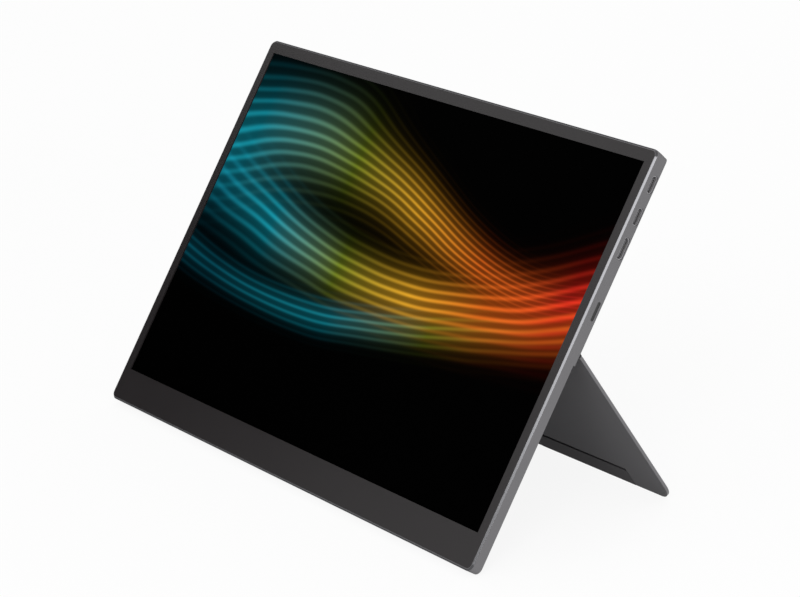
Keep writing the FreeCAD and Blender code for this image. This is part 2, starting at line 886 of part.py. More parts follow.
def main_board():
    """The main board, notched at its right edge for the sockets and the key."""
    body = new_body("main_board")
    deep = (board_front, board_back)
    add_box(body, "board_plate", (board_left, board_right), deep, (board_low, board_high))
    gap = sizes.notch_gap
    halves = (sizes.oval_length / 2, sizes.oval_length / 2, sizes.video_length / 2)
    notches = [(centre, half + gap) for centre, half in zip(socket_centres, halves)]
    notches.append((key_centre, key_wide + gap))
    over = sizes.cut_overrun
    for number, (centre, half) in enumerate(notches):
        cut_box(
            body, f"board_notch_{number}", (socket_back - gap, board_right + over),
            (board_front - over, board_back + over), about(centre, half),
        )
    for number, (across, up) in enumerate(board_screw_places()):
        start = (across, board_front - over, up)
        cut_bore(body, f"screw_hole_{number}", "y", start, sizes.board_thick + over * 2, screw_hole)


def board_parts():
    """Chips, coils and connectors on the main board, and the pad that cools the largest chip."""
    half = sizes.chip_size / 2
    across = board_left + sizes.board_width * CHIP_SIDE_SHARE
    up = board_low + board_rise * CHIP_HEIGHT_SHARE
    chip_back = board_back + sizes.chip_thick
    body = new_body("scaler_chip")
    add_box(body, "scaler_block", about(across, half), (board_back, chip_back), about(up, half))
    body = new_body("thermal_pad")
    add_box(body, "pad_block", about(across, half), (chip_back, back_inner), about(up, half))
    body = new_body("board_chips")
    chip_front = board_front - sizes.small_chip_thick
    memory_up = board_low + board_rise * MEMORY_HEIGHT_SHARE
    add_box(
        body, "memory_chip", about(across, sizes.memory_length / 2),
        (chip_front, board_front), about(memory_up, sizes.memory_height / 2),
    )
    for number, share in enumerate(POWER_HEIGHT_SHARES):
        add_box(
            body, f"power_chip_{number}", about(board_right - sizes.power_chip_inset, sizes.power_chip / 2),
            (chip_front, board_front), about(board_low + board_rise * share, sizes.power_chip / 2),
        )
    body = new_body("power_inductors")
    coil_up = board_low + board_rise * COIL_HEIGHT_SHARE
    for number in range(2):
        centre = across + sizes.coil_pitch * number
        sketch = new_sketch(body, f"coil_outline_{number}", DEPTH_PLANE, board_front - sizes.coil_thick)
        half = sizes.coil_size / 2
        draw_rounded_rectangle(sketch, about(centre, half), about(coil_up, half), half / 2)
        pad(body, sketch, sizes.coil_thick)
    body = new_body("cable_connectors")
    span = about(cable_across, sizes.cable_width / 2)
    tall = sizes.plug_height
    add_box(body, "driver_connector", span, (driver_back, cable_front), (driver_low, driver_low + tall))
    add_box(body, "board_connector", span, (cable_back, board_front), (cable_high - tall, cable_high))


def sockets():
    """Two oval sockets and one video socket: drawn shells, each with a contact blade inside."""
    wall = sizes.shell_wall
    for label, centre in zip(("oval_socket_upper", "oval_socket_lower"), socket_centres):
        body = new_body(label)
        sketch = new_sketch(body, f"{label}_outer", SIDE_PLANE, socket_back)
        oval_outline(sketch, centre, sizes.oval_length, sizes.oval_height)
        pad(body, sketch, sizes.socket_length)
        sketch = new_sketch(body, f"{label}_mouth", SIDE_PLANE, socket_front)
        oval_outline(sketch, centre, sizes.oval_length - wall * 2, sizes.oval_height - wall * 2)
        pocket(body, sketch, sizes.socket_length - wall)
    body = new_body("video_socket")
    sketch = new_sketch(body, "video_outer", SIDE_PLANE, socket_back)
    video_outline(sketch, socket_centres[2], ZERO)
    pad(body, sketch, sizes.socket_length)
    sketch = new_sketch(body, "video_mouth", SIDE_PLANE, socket_front)
    video_outline(sketch, socket_centres[2], -wall)
    pocket(body, sketch, sizes.socket_length - wall)
    body = new_body("socket_blades")
    lengths = (sizes.oval_length, sizes.oval_length, sizes.video_length)
    for number, (centre, length) in enumerate(zip(socket_centres, lengths)):
        add_box(
            body, f"blade_{number}", (socket_back + wall, socket_front - sizes.blade_setback),
            about(port_centre, sizes.blade_thick / 2), about(centre, length / 2 - sizes.blade_margin),
        )


def screw_group(label, places, seat, reach, radius, head_radius, head, frame="display"):
    """A group of equal screws along y: heads in front of the seat, shanks behind it."""
    body = new_body(label, frame)
    for number, (across, up) in enumerate(places):
        add_rod(body, f"{label}_head_{number}", "y", (across, seat - head, up), head, head_radius)
        add_rod(body, f"{label}_shank_{number}", "y", (across, seat, up), reach, radius)


def board_screws():
    """The screws that hold the main board on its bosses."""
    reach = sizes.board_thick + back_inner - board_back - sizes.screw_end_gap
    screw_group(
        "board_screws", board_screw_places(), board_front, reach,
        sizes.screw_radius, sizes.screw_head_radius, sizes.screw_head,
    )


# Menu key

def menu_key():
    """The key in the right wall, with a lip behind the wall, and the switch that it presses."""
    body = new_body("menu_key", "key")
    lip_right = inner_half - sizes.key_play
    sketch = new_sketch(body, "key_lip_outline", SIDE_PLANE, lip_right - sizes.key_flange)
    oval_outline(sketch, key_centre, key_wide * 2, key_deep * 2)
    pad(body, sketch, sizes.key_flange)
    sketch = new_sketch(body, "key_cap_outline", SIDE_PLANE, lip_right)
    oval_outline(sketch, key_centre, sizes.key_length, sizes.key_height)
    pad(body, sketch, half_width - sizes.key_inset - lip_right)
    body = new_body("key_switch")
    plunger_tip = lip_right - sizes.key_flange - sizes.key_travel - sizes.switch_end_gap
    body_right = plunger_tip - sizes.plunger_reach
    add_box(
        body, "switch_case", (body_right - sizes.switch_depth, body_right),
        about(port_centre, sizes.switch_height / 2), about(key_centre, sizes.switch_length / 2),
    )
    add_box(
        body, "switch_plunger", (body_right, plunger_tip),
        about(port_centre, sizes.plunger_height / 2), about(key_centre, sizes.plunger_length / 2),
    )


# Speakers

def speakers():
    """Two flat speakers behind the sound slots, each with a membrane and a foam gasket."""
    membranes = new_body("speaker_membranes")
    gaskets = new_body("speaker_gaskets")
    rim = sizes.speaker_rim
    for name, side in SIDES.items():
        span = speaker_span(side)
        inner_span = (span[0] + rim, span[1] - rim)
        inner_up = (speaker_up[0] + rim, speaker_up[1] - rim)
        body = new_body(f"speaker_{name}")
        sketch = new_sketch(body, f"speaker_case_{name}", DEPTH_PLANE, speaker_front)
        draw_rounded_rectangle(sketch, span, speaker_up, sizes.speaker_round)
        pad(body, sketch, speaker_back - speaker_front)
        sketch = new_sketch(body, f"speaker_well_{name}", DEPTH_PLANE, speaker_back)
        draw_rounded_rectangle(sketch, inner_span, inner_up, sizes.speaker_round - rim / 2)
        pocket(body, sketch, sizes.speaker_pocket, towards_front=True)
        gap = sizes.membrane_gap
        sketch = new_sketch(membranes, f"membrane_{name}", DEPTH_PLANE, speaker_back - sizes.speaker_pocket)
        draw_rounded_rectangle(
            sketch, (inner_span[0] + gap, inner_span[1] - gap),
            (inner_up[0] + gap, inner_up[1] - gap), sizes.speaker_round - rim / 2 - gap,
        )
        pad(membranes, sketch, sizes.membrane_thick)
        sketch = new_sketch(gaskets, f"gasket_{name}", DEPTH_PLANE, speaker_back)
        draw_rounded_rectangle(sketch, span, speaker_up, sizes.speaker_round)
        pad(gaskets, sketch, sizes.gasket_thick)
        sketch = new_sketch(gaskets, f"gasket_window_{name}", DEPTH_PLANE, speaker_back)
        draw_rounded_rectangle(sketch, inner_span, inner_up, sizes.speaker_round - rim / 2)
        pocket(gaskets, sketch, sizes.gasket_thick)


# Hinge

def hinge_brackets():
    """Steel hinge leaves on the housing, each rolled to a knuckle around its pin."""
    for name, side in SIDES.items():
        body = new_body(f"hinge_bracket_{name}")
        centre = hinge_across * side
        deep = (bracket_front, back_inner)
        leaf = about(centre, sizes.bracket_width / 2)
        add_box(body, f"leaf_{name}", leaf, deep, (upper_floor, bracket_top))
        half = sizes.knuckle_width / 2
        arm_up = (sizes.hinge_height, upper_floor + sizes.bracket_height / 2)
        add_box(body, f"arm_{name}", about(centre, half), deep, arm_up)
        axis_start = (centre - half, axis_depth, sizes.hinge_height)
        add_rod(body, f"knuckle_{name}", "x", axis_start, sizes.knuckle_width, sizes.barrel_radius)
        bore_start = (centre - half - sizes.cut_overrun, axis_depth, sizes.hinge_height)
        bore_length = sizes.knuckle_width + sizes.cut_overrun * 2
        bore_radius = sizes.pin_radius + sizes.running_gap
        cut_bore(body, f"knuckle_bore_{name}", "x", bore_start, bore_length, bore_radius)
        for number, (across, up) in enumerate(bracket_screw_places(side)):
            start = (across, bracket_front - sizes.cut_overrun, up)
            length = sizes.bracket_thick + sizes.cut_overrun * 2
            cut_bore(body, f"leaf_hole_{name}_{number}", "y", start, length, screw_hole)
    places = [place for side in SIDES.values() for place in bracket_screw_places(side)]
    reach = sizes.bracket_thick + sizes.back_wall - sizes.screw_end_gap * 2
    screw_group(
        "hinge_screws", places, bracket_front, reach,
        sizes.screw_radius, sizes.screw_head_radius, sizes.screw_head,
    )


def hinge_pins():
    """The pins held in the stand's rail, and the friction washers beside each knuckle."""
    washers = new_body("friction_washers", "stand")
    for name, side in SIDES.items():
        body = new_body(f"hinge_pin_{name}", "stand")
        centre = hinge_across * side
        start = (centre - sizes.pin_length / 2, axis_depth, sizes.hinge_height)
        add_rod(body, f"pin_{name}", "x", start, sizes.pin_length, sizes.pin_radius)
        near = sizes.knuckle_width / 2 + sizes.washer_gap
        inner = sizes.pin_radius + sizes.press_gap
        for end, offset in (("outer", near), ("inner", -near - sizes.washer_thick)):
            sketch = new_sketch(washers, f"washer_{name}_{end}", SIDE_PLANE, centre + offset)
            draw_circle(sketch, (axis_depth, sizes.hinge_height), inner + sizes.washer_rim)
            draw_circle(sketch, (axis_depth, sizes.hinge_height), inner)
            pad(washers, sketch, sizes.washer_thick)


# Stand

def stand_rail():
    """The dark hinge rail along the stand's top: a barrel, a neck and a tongue let into the plate."""
    body = new_body("stand_rail", "stand")
    neck_back = axis_depth + sizes.barrel_radius
    neck_front = neck_back - sizes.neck_thick
    profile = new_sketch(body, "neck_profile", SIDE_PLANE)
    draw_polygon(profile, rectangle_points((neck_front, neck_back), (stand_top, sizes.hinge_height)))
    pad(body, profile, rail_half * 2, both_ways=True)
    barrel = new_sketch(body, "barrel_profile", SIDE_PLANE)
    draw_circle(barrel, (axis_depth, sizes.hinge_height), sizes.barrel_radius)
    pad(body, barrel, rail_half * 2, both_ways=True)
    add_box(
        body, "rail_tongue", (-tongue_half, tongue_half), (tongue_front, tongue_back),
        (tongue_low, sizes.hinge_height),
    )
    over = sizes.cut_overrun
    notch_low = sizes.hinge_height - sizes.barrel_radius - sizes.hinge_gap
    bore_half = sizes.pin_length / 2 + sizes.pin_end_gap
    for name, side in SIDES.items():
        centre = hinge_across * side
        cut_box(
            body, f"knuckle_notch_{name}", about(centre, notch_half),
            (neck_front - over, neck_back + over), (notch_low, trough_top),
        )
        start = (centre - bore_half, axis_depth, sizes.hinge_height)
        bore_radius = sizes.pin_radius + sizes.press_gap
        cut_bore(body, f"pin_bore_{name}", "x", start, bore_half * 2, bore_radius)
    for number, (across, up) in enumerate(rail_screw_places()):
        start = (across, tongue_front, up)
        cut_bore(body, f"rail_hole_{number}", "y", start, sizes.tongue_thick, rail_screw_hole)


def stand_plate():
    """The stand's metal plate: round foot corners, a slot for the rail and seats for the soles."""
    body = new_body("stand_plate", "stand")
    sketch = new_sketch(body, "plate_outline", DEPTH_PLANE, stand_front)
    draw_polygon(sketch, rectangle_points((-rail_half, rail_half), (stand_foot, stand_top)))
    block = pad(body, sketch, sizes.stand_thick)
    feet = corner_edges(block, float(stand_foot))
    rounded = fillet(body, block, feet, sizes.stand_round)
    rounded = fillet(body, rounded, corner_edges(rounded, float(stand_top)), sizes.stand_top_round)
    chamfer(body, rounded, edges_on(rounded, "Y", float(depth)), sizes.stand_edge)
    over = sizes.cut_overrun
    slot_half = tongue_half + sizes.lap_gap
    cut_box(
        body, "rail_slot", (-slot_half, slot_half), (tongue_front - sizes.lap_gap, tongue_back),
        (tongue_low - sizes.lap_gap, stand_top + over),
    )
    seat_deep = (stand_front - over, stand_front + sizes.sole_depth)
    seat_up = (stand_foot - over, stand_foot + sizes.sole_height + sizes.groove_height)
    seat = cut_box(body, "sole_seat", sole_span(), seat_deep, seat_up)
    mirrored(body, [seat], "other_sole")
    reach = sizes.stand_thick - sizes.screw_end_gap
    for number, (across, up) in enumerate(rail_screw_places()):
        start = (across, stand_front, up)
        sink_radius = sizes.rail_screw_head_radius + sizes.thread_gap
        cut_bore(body, f"plate_sink_{number}", "y", start, sizes.rail_screw_head, sink_radius)
        cut_bore(body, f"plate_hole_{number}", "y", start, reach, rail_screw_hole)


def corner_edges(feature, place):
    """The depth-wise edges of the plate whose corner lies at one height."""
    names = []
    for number, edge in enumerate(feature.Shape.Edges, start=1):
        box = edge.BoundBox
        level = abs(box.ZMin - place) < TOUCH and abs(box.ZMax - place) < TOUCH
        if level and box.XLength < TOUCH:
            names.append(f"Edge{number}")
    return names


def sole_span():
    """The two ends of the right stand sole along x."""
    far = rail_half - sizes.sole_inset
    return (far - sizes.sole_length, far)


def rail_screws():
    """The screws that hold the rail's tongue on the plate, their heads sunk flush."""
    seat = stand_front + sizes.rail_screw_head
    reach = sizes.stand_thick - sizes.rail_screw_head - sizes.screw_end_gap * 2
    screw_group(
        "rail_screws", rail_screw_places(), seat, reach, sizes.rail_screw_radius,
        sizes.rail_screw_head_radius, sizes.rail_screw_head, "stand",
    )


# Standing pose

base_back = lower_back + sizes.base_proud
sole_front = stand_front - sizes.sole_proud


def opened_stand_sole():
    """Depth and height of the stand sole's touching edge once the stand is opened."""
    angle = math.radians(sizes.stand_angle)
    deep = sole_front - axis_depth
    drop = sizes.hinge_height - sole_low
    return (
        axis_depth + deep * math.cos(angle) + drop * math.sin(angle),
        sizes.hinge_height + deep * math.sin(angle) - drop * math.cos(angle),
    )


def standing_places():
    """Placements that stand the display and its opened stand on the floor, centred on the origin."""
    sole_deep, sole_up = opened_stand_sole()
    lean = math.atan2(sole_up - sizes.base_rise, sole_deep - base_back)
    sine, cosine = math.sin(lean), math.cos(lean)
    floor = sizes.base_rise * cosine - base_back * sine + sizes.sole_cut
    nearest = sizes.front_chamfer * sine
    farthest = (height - sizes.taper_drop) * sine + depth * cosine
    x_axis = Vector(1, 0, 0)
    middle = Vector(0, -(nearest + farthest) / 2, -floor)
    display = Placement(middle, Rotation(x_axis, -math.degrees(lean)))
    pivot = Vector(0, axis_depth, sizes.hinge_height)
    swing = Placement(Vector(), Rotation(x_axis, float(sizes.stand_angle)), pivot)
    return {"display": display, "key": display, "stand": display.multiply(swing)}


places = standing_places()


def cut_flat_on_floor(body, frame):
    """Trim a sole flat where it stands, below the floor of the standing pose."""
    under = body.newObject("PartDesign::SubtractiveBox", f"{body.Label}_floor")
    bind(under, "Length", half_width * 2)
    bind(under, "Width", height)
    bind(under, "Height", depth)
    corner = Placement(Vector(-half_width, -height / 2, -depth), Rotation())
    under.Placement = places[frame].inverse().multiply(corner)
    doc.recompute()


def base_feet():
    """Two rubber soles along the lower back edge, trimmed flat on the floor."""
    body = new_body("base_feet")
    low, high = sizes.base_rise, sizes.base_rise + sizes.base_height
    span = base_span()
    front = lower_back - sizes.base_seat
    profile = new_sketch(body, "base_profile", SIDE_PLANE, span[0])
    cut = sizes.base_round
    draw_polygon(profile, [
        (front, low),
        (base_back, low),
        (base_back, high - cut),
        (base_back - cut, high),
        (front, high),
    ])
    sole = pad(body, profile, sizes.base_length)
    mirrored(body, [sole], "base_pair")
    cut_flat_on_floor(body, "display")


def stand_feet():
    """Two rubber soles at the stand's foot, trimmed flat on the floor."""
    body = new_body("stand_feet", "stand")
    span = sole_span()
    high = stand_foot + sizes.sole_height
    back = stand_front + sizes.sole_depth
    profile = new_sketch(body, "sole_profile", SIDE_PLANE, span[0])
    draw_polygon(profile, [(sole_front, sole_low), (back, sole_low), (back, high), (sole_front, high)])
    sole = pad(body, profile, sizes.sole_length)
    mirrored(body, [sole], "sole_pair")
    cut_flat_on_floor(body, "stand")


def check_document():
    """Stop before anything is written if an object failed or a shape is bad."""
    doc.recompute()
    failed = [thing.Label for thing in doc.Objects if {"Invalid", "Error"} & set(thing.State)]
    bad = [body.Label for body, _ in pieces if body.Shape.isNull() or not body.Shape.isValid()]
    if failed or bad:
        raise RuntimeError(f"failed objects {failed}, bad shapes {bad}")


def write_pieces():
    """Put every piece in its standing place and write it under its label."""
    for body, frame in pieces:
        body.Placement = places[frame]
    check_document()
    os.makedirs("parts", exist_ok=True)
    for body, _ in pieces:
        body.Shape.exportStep(os.path.join("parts", f"{body.Label}.step"))


rear_housing()
screen_stack()
driver_pieces()
main_board()
board_parts()
sockets()
board_screws()
menu_key()
speakers()
hinge_brackets()
hinge_pins()
stand_rail()
stand_plate()
rail_screws()
base_feet()
stand_feet()
write_pieces()
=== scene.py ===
"""Dresses the portable monitor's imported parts, adds its finest details and sets up the studio."""

import json
import logging
import math
from dataclasses import dataclass, field
from enum import Enum, IntEnum

import bmesh
import bpy
import numpy as np
from mathutils import Euler, Matrix, Vector


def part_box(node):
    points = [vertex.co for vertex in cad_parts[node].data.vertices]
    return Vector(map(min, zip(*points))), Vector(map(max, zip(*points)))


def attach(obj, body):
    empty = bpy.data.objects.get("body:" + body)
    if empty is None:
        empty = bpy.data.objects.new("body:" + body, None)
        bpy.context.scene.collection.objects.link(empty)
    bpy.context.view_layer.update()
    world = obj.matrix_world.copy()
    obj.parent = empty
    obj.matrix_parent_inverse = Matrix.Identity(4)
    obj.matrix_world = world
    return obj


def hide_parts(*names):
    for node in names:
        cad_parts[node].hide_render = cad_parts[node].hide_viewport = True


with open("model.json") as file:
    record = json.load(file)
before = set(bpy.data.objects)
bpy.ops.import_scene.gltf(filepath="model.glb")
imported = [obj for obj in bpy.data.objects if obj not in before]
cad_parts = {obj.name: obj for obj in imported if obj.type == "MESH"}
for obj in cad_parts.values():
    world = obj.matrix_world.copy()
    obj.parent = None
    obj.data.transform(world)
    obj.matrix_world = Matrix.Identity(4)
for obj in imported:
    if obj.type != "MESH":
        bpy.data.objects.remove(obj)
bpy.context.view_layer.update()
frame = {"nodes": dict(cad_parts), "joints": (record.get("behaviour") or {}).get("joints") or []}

LOG = logging.getLogger("portable_monitor")
MM = 0.001
WELD = 1e-7
WHITE = (1.0, 1.0, 1.0)

Colour = tuple[float, float, float]
Stops = tuple[tuple[float, Colour], ...]
Point = tuple[float, float, float]
Socket = bpy.types.NodeSocket
Source = Socket | float | tuple
Inputs = dict[str | int, Source]


class Body(Enum):
    """The bodies that new pieces and the finishes' patterns move with."""

    DISPLAY = "display"
    STAND = "stand"


class Axis(IntEnum):
    """Columns of a point in a body's drawing frame."""

    ACROSS = 0
    DEEP = 1
    UP = 2


# Drawing frames


@dataclass(frozen=True)
class DrawingFrame:
    """A body's drawing frame: x to the right, y into the depth, z up along the panel, in metres."""

    pivot: Point
    place: Point
    turn: float

    def rotation(self) -> np.ndarray:
        """The turn about x as a 3 by 3 matrix."""
        cosine, sine = math.cos(self.turn), math.sin(self.turn)
        return np.array([[1, 0, 0], [0, cosine, -sine], [0, sine, cosine]])

    def to_row(self, points: np.ndarray) -> np.ndarray:
        """Points carried into the row frame: the place plus the turned offset from the pivot."""
        return (points - np.array(self.pivot)) @ self.rotation().T + np.array(self.place)

    def origin(self) -> Point:
        """Where the drawing frame's origin lies in the row frame."""
        return tuple(self.to_row(np.zeros(3)).tolist())


@dataclass(frozen=True)
class Frames:
    """The drawing frames of the display and of the opened stand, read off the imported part."""

    hinge_depth: float = 6.4 * MM
    hinge_height: float = 115.7 * MM
    cell_thick: float = 0.8 * MM
    rounds: int = 12

    def lean(self) -> float:
        """The display's lean, from the box of the flat cell.

        A cell of height L and thickness t that leans by a fills L sin a + t cos a in depth and
        L cos a + t sin a in height, so a is found by repeating a = atan2(depth - t cos a,
        height - t sin a).

        Returns:
            The lean in radians.
        """
        low, high = (np.array(corner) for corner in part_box("lcd_cell"))
        _, deep, tall = high - low
        angle = math.atan2(deep, tall)
        for _ in range(self.rounds):
            thin = self.cell_thick
            angle = math.atan2(deep - thin * math.cos(angle), tall - thin * math.sin(angle))
        return angle

    def hinge(self) -> dict:
        """The record's entry for the stand's hinge."""
        return next(joint for joint in frame["joints"] if joint["name"] == "stand_hinge")

    def display(self) -> DrawingFrame:
        """The drawing frame of the leaning display."""
        pivot = (0.0, self.hinge_depth, self.hinge_height)
        return DrawingFrame(pivot, tuple(self.hinge()["pos_m"]), -self.lean())

    def stand(self) -> DrawingFrame:
        """The drawing frame of the stand, opened from its folded place.

        Returns:
            The display's frame, turned on by the angle from folded to rest.
        """
        opened = -math.radians(self.hinge()["range_deg"][0])
        folded = self.display()
        return DrawingFrame(folded.pivot, folded.place, folded.turn + opened)


FRAMES = Frames()


# Meshes from whole arrays


def grid_faces(rows: int, columns: int, closed: bool) -> np.ndarray:
    """Quads between neighbouring rows and columns of a grid of points.

    Args:
        rows: Number of rows of points.
        columns: Number of points in a row.
        closed: Whether the last column joins the first.

    Returns:
        An array of four point numbers a face.
    """
    across = np.arange(columns if closed else columns - 1)
    along = np.arange(rows - 1)[:, None]
    after = (across + 1) % columns
    corners = [
        along * columns + across,
        along * columns + after,
        (along + 1) * columns + after,
        (along + 1) * columns + across,
    ]
    return np.stack([corner.reshape(-1) for corner in corners], axis=1)


def repeated(surface: np.ndarray, offsets: np.ndarray) -> np.ndarray:
    """Copies of a grid surface (rows, columns, 3), each moved by one of the offsets (copies, 3)."""
    return surface[None] + offsets[:, None, None, :]


def linked(name: str, data: bpy.types.ID) -> bpy.types.Object:
    """A new object that stands in the scene.

    Args:
        name: The object's name.
        data: Its mesh, lamp or camera.

    Returns:
        The object, at the origin.
    """
    thing = bpy.data.objects.new(name, data)
    bpy.context.scene.collection.objects.link(thing)
    return thing


def closed_piece(name: str, surfaces: np.ndarray, smooth: bool) -> bpy.types.Object:
    """A mesh object of closed surfaces of the same grid, whose first and last rows are poles.

    Args:
        name: Name of the object and of its mesh.
        surfaces: Points of shape (copies, rows, columns, 3) in the row frame.
        smooth: Whether the faces are shaded smooth.

    Returns:
        The object, at the origin, with its place in its mesh.
    """
    copies, rows, columns, _ = surfaces.shape
    quads = grid_faces(rows, columns, closed=True)
    starts = (np.arange(copies) * rows * columns)[:, None, None]
    mesh = bpy.data.meshes.new(name)
    mesh.from_pydata(surfaces.reshape(-1, 3).tolist(), [], (quads + starts).reshape(-1, 4).tolist())
    work = bmesh.new()
    work.from_mesh(mesh)
    bmesh.ops.remove_doubles(work, verts=work.verts, dist=WELD)
    bmesh.ops.recalc_face_normals(work, faces=work.faces)
    work.to_mesh(mesh)
    work.free()
    mesh.polygons.foreach_set("use_smooth", np.full(len(mesh.polygons), smooth))
    mesh.update()
    return linked(name, mesh)


def lofted_bar(rings: np.ndarray, stations: np.ndarray) -> np.ndarray:
    """Outlines set one after another along x, with each end drawn in to its outline's middle.

    Args:
        rings: Points of shape (stations, columns, 2) that give y and z round the bar.
        stations: Where each outline stands along x.

    Returns:
        Points of shape (stations + 2, columns, 3), from pole to pole.
    """
    middles = np.broadcast_to(rings.mean(axis=1, keepdims=True), rings.shape)
    rings = np.concatenate([middles[:1], rings, middles[-1:]])
    stations = np.concatenate([stations[:1], stations, stations[-1:]])
    across = np.broadcast_to(stations[:, None], rings.shape[:2])
    return np.concatenate([across[..., None], rings], axis=2)


def finished(piece: bpy.types.Object, body: Body, finish: "Finish") -> None:
    """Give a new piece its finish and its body.

    Args:
        piece: The new piece.
        body: The body that it moves with.
        finish: The finish that it shows.
    """
    piece.data.materials.append(finish.material())
    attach(piece, body.value)
    LOG.info("made %s: %d faces on %s", piece.name, len(piece.data.polygons), body.value)


def dress(names: tuple[str, ...], finish: "Finish") -> None:
    """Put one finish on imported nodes.

    Args:
        names: The nodes' names.
        finish: The finish that they show.
    """
    for name in names:
        node = frame["nodes"][name]
        if not node.material_slots:
            node.data.materials.append(None)
        for slot in node.material_slots:
            slot.material = finish.material()
        LOG.info("dressed %s in %s", name, finish.name)


# Node building


class Effect(Enum):
    """Names of the effects that finishes share."""

    GRAIN = "surface_grain"
    FACING = "facing_mask"
    LINES = "long_lines"
    VEIL = "light_veil"


@dataclass(frozen=True)
class Noise:
    """How many octaves a noise has, and how much the finer ones count."""

    detail: float
    rough: float


GRAIN_NOISE = Noise(detail=3.0, rough=0.6)
MOTTLE_NOISE = Noise(detail=4.0, rough=0.55)
SMUDGE_NOISE = Noise(detail=5.0, rough=0.62)
LINE_NOISE = Noise(detail=4.0, rough=0.65)
WARP_NOISE = Noise(detail=1.5, rough=0.4)


class Sheet:
    """A node tree with short ways to add and join nodes."""

    # Places of a Mix node's share and two colours, and of its mixed colour.
    MIX_INPUTS = (0, 6, 7)
    MIX_OUT = 2
    # Where a new stop stands on a ramp until it gets its own place.
    NEW_STOP = 0.5

    def __init__(self, tree: bpy.types.NodeTree, keep: bool = False) -> None:
        """Work on a tree, emptied first unless its nodes are kept.

        Args:
            tree: The node tree of a material, a world or a node group.
            keep: Whether the nodes that are there stay.
        """
        self.tree = tree
        if not keep:
            self.tree.nodes.clear()

    def fill(self, node: bpy.types.Node, inputs: Inputs) -> None:
        """Join a node's inputs to their sources, or set their plain values.

        Args:
            node: The node.
            inputs: Output sockets or plain values, by an input's name or place.
        """
        for name, source in inputs.items():
            if isinstance(source, Socket):
                self.tree.links.new(source, node.inputs[name])
            else:
                node.inputs[name].default_value = source

    def add(self, kind: str, inputs: Inputs | None = None, **settings: object) -> bpy.types.Node:
        """Add a node, set its properties and fill its inputs.

        Args:
            kind: Blender's name of the node's type.
            inputs: Output sockets or plain values, by an input's name or place.
            **settings: Values of the node's own properties.

        Returns:
            The node.
        """
        node = self.tree.nodes.new(kind)
        for name, value in settings.items():
            setattr(node, name, value)
        self.fill(node, inputs or {})
        return node

    def maths(self, operation: str, *sources: Source, clamp: bool = False) -> Socket:
        """The result of a Math node on its sources in order, held from 0 to 1 if it is clamped."""
        inputs = dict(enumerate(sources))
        return self.add("ShaderNodeMath", inputs, operation=operation, use_clamp=clamp).outputs[0]

    def vectors(self, operation: str, first: Source, second: Source) -> bpy.types.Node:
        """A Vector Math node on two vectors."""
        return self.add("ShaderNodeVectorMath", {0: first, 1: second}, operation=operation)

    def noise(self, vector: Socket, scale: Source, kind: Noise) -> Socket:
        """The value of a Noise Texture on a vector."""
        inputs = {"Vector": vector, "Scale": scale, "Detail": kind.detail, "Roughness": kind.rough}
        return self.add("ShaderNodeTexNoise", inputs).outputs["Fac"]

    def blend(self, share: Source, first: Source, second: Source, kind: str = "MIX") -> Socket:
        """Two colours blended by a share, from 0 for the first alone to 1."""
        inputs = dict(zip(self.MIX_INPUTS, (share, first, second)))
        return self.add("ShaderNodeMix", inputs, data_type="RGBA", blend_type=kind).outputs[self.MIX_OUT]

    def between(self, value: Socket, low: Source, high: Source) -> Socket:
        """A value from 0 to 1 carried to the range from low to high."""
        inputs = {"Value": value, "To Min": low, "To Max": high}
        return self.add("ShaderNodeMapRange", inputs).outputs["Result"]

    def ramp(self, value: Socket, stops: Stops) -> Socket:
        """The colour that a ramp gives a value.

        Args:
            value: The value, from 0 to 1.
            stops: Pairs of a place on the ramp and its linear colour.

        Returns:
            The ramp's colour socket.
        """
        node = self.add("ShaderNodeValToRGB", {"Fac": value})
        elements = node.color_ramp.elements
        while len(elements) < len(stops):
            elements.new(self.NEW_STOP)
        for element, (place, colour) in zip(elements, stops):
            element.position = place
            element.color = (*colour, 1.0)
        return node.outputs["Color"]

    def placed(self, effect: Effect, inputs: Inputs) -> bpy.types.NodeOutputs:
        """The outputs of a shared effect, whose group is built at its first use."""
        group = bpy.data.node_groups.get(effect.value) or MAKERS[effect]()
        return self.add("ShaderNodeGroup", inputs, node_tree=group).outputs


def new_group(
    effect: Effect, inputs: dict[str, str], outputs: dict[str, str]
) -> tuple[Sheet, bpy.types.NodeOutputs, bpy.types.Node]:
    """An empty node group with named sockets.

    Args:
        effect: The effect that gives the group its name.
        inputs: Socket kinds, Float, Vector or Color, by input name.
        outputs: Socket kinds by output name.

    Returns:
        The group's sheet, what it is given, and the node that takes what it makes.
    """
    tree = bpy.data.node_groups.new(effect.value, "ShaderNodeTree")
    for way, sockets in (("INPUT", inputs), ("OUTPUT", outputs)):
        for label, kind in sockets.items():
            tree.interface.new_socket(label, in_out=way, socket_type=f"NodeSocket{kind}")
    sheet = Sheet(tree)
    return sheet, sheet.add("NodeGroupInput").outputs, sheet.add("NodeGroupOutput")


SMUDGE_SHARE = 0.31


def grain_group() -> bpy.types.NodeTree:
    """Fine grain, slow mottling and handling smudges, each from 0 to 1.

    Returns:
        The node group.
    """
    inputs = {"Vector": "Vector", "Grain": "Float", "Mottle": "Float"}
    outputs = {"Grain": "Float", "Mottle": "Float", "Smudge": "Float"}
    sheet, given, made = new_group(Effect.GRAIN, inputs, outputs)
    wide = sheet.maths("MULTIPLY", given["Mottle"], SMUDGE_SHARE)
    sheet.fill(made, {
        "Grain": sheet.noise(given["Vector"], given["Grain"], GRAIN_NOISE),
        "Mottle": sheet.noise(given["Vector"], given["Mottle"], MOTTLE_NOISE),
        "Smudge": sheet.noise(given["Vector"], wide, SMUDGE_NOISE),
    })
    return sheet.tree


MASK_END = 1.6


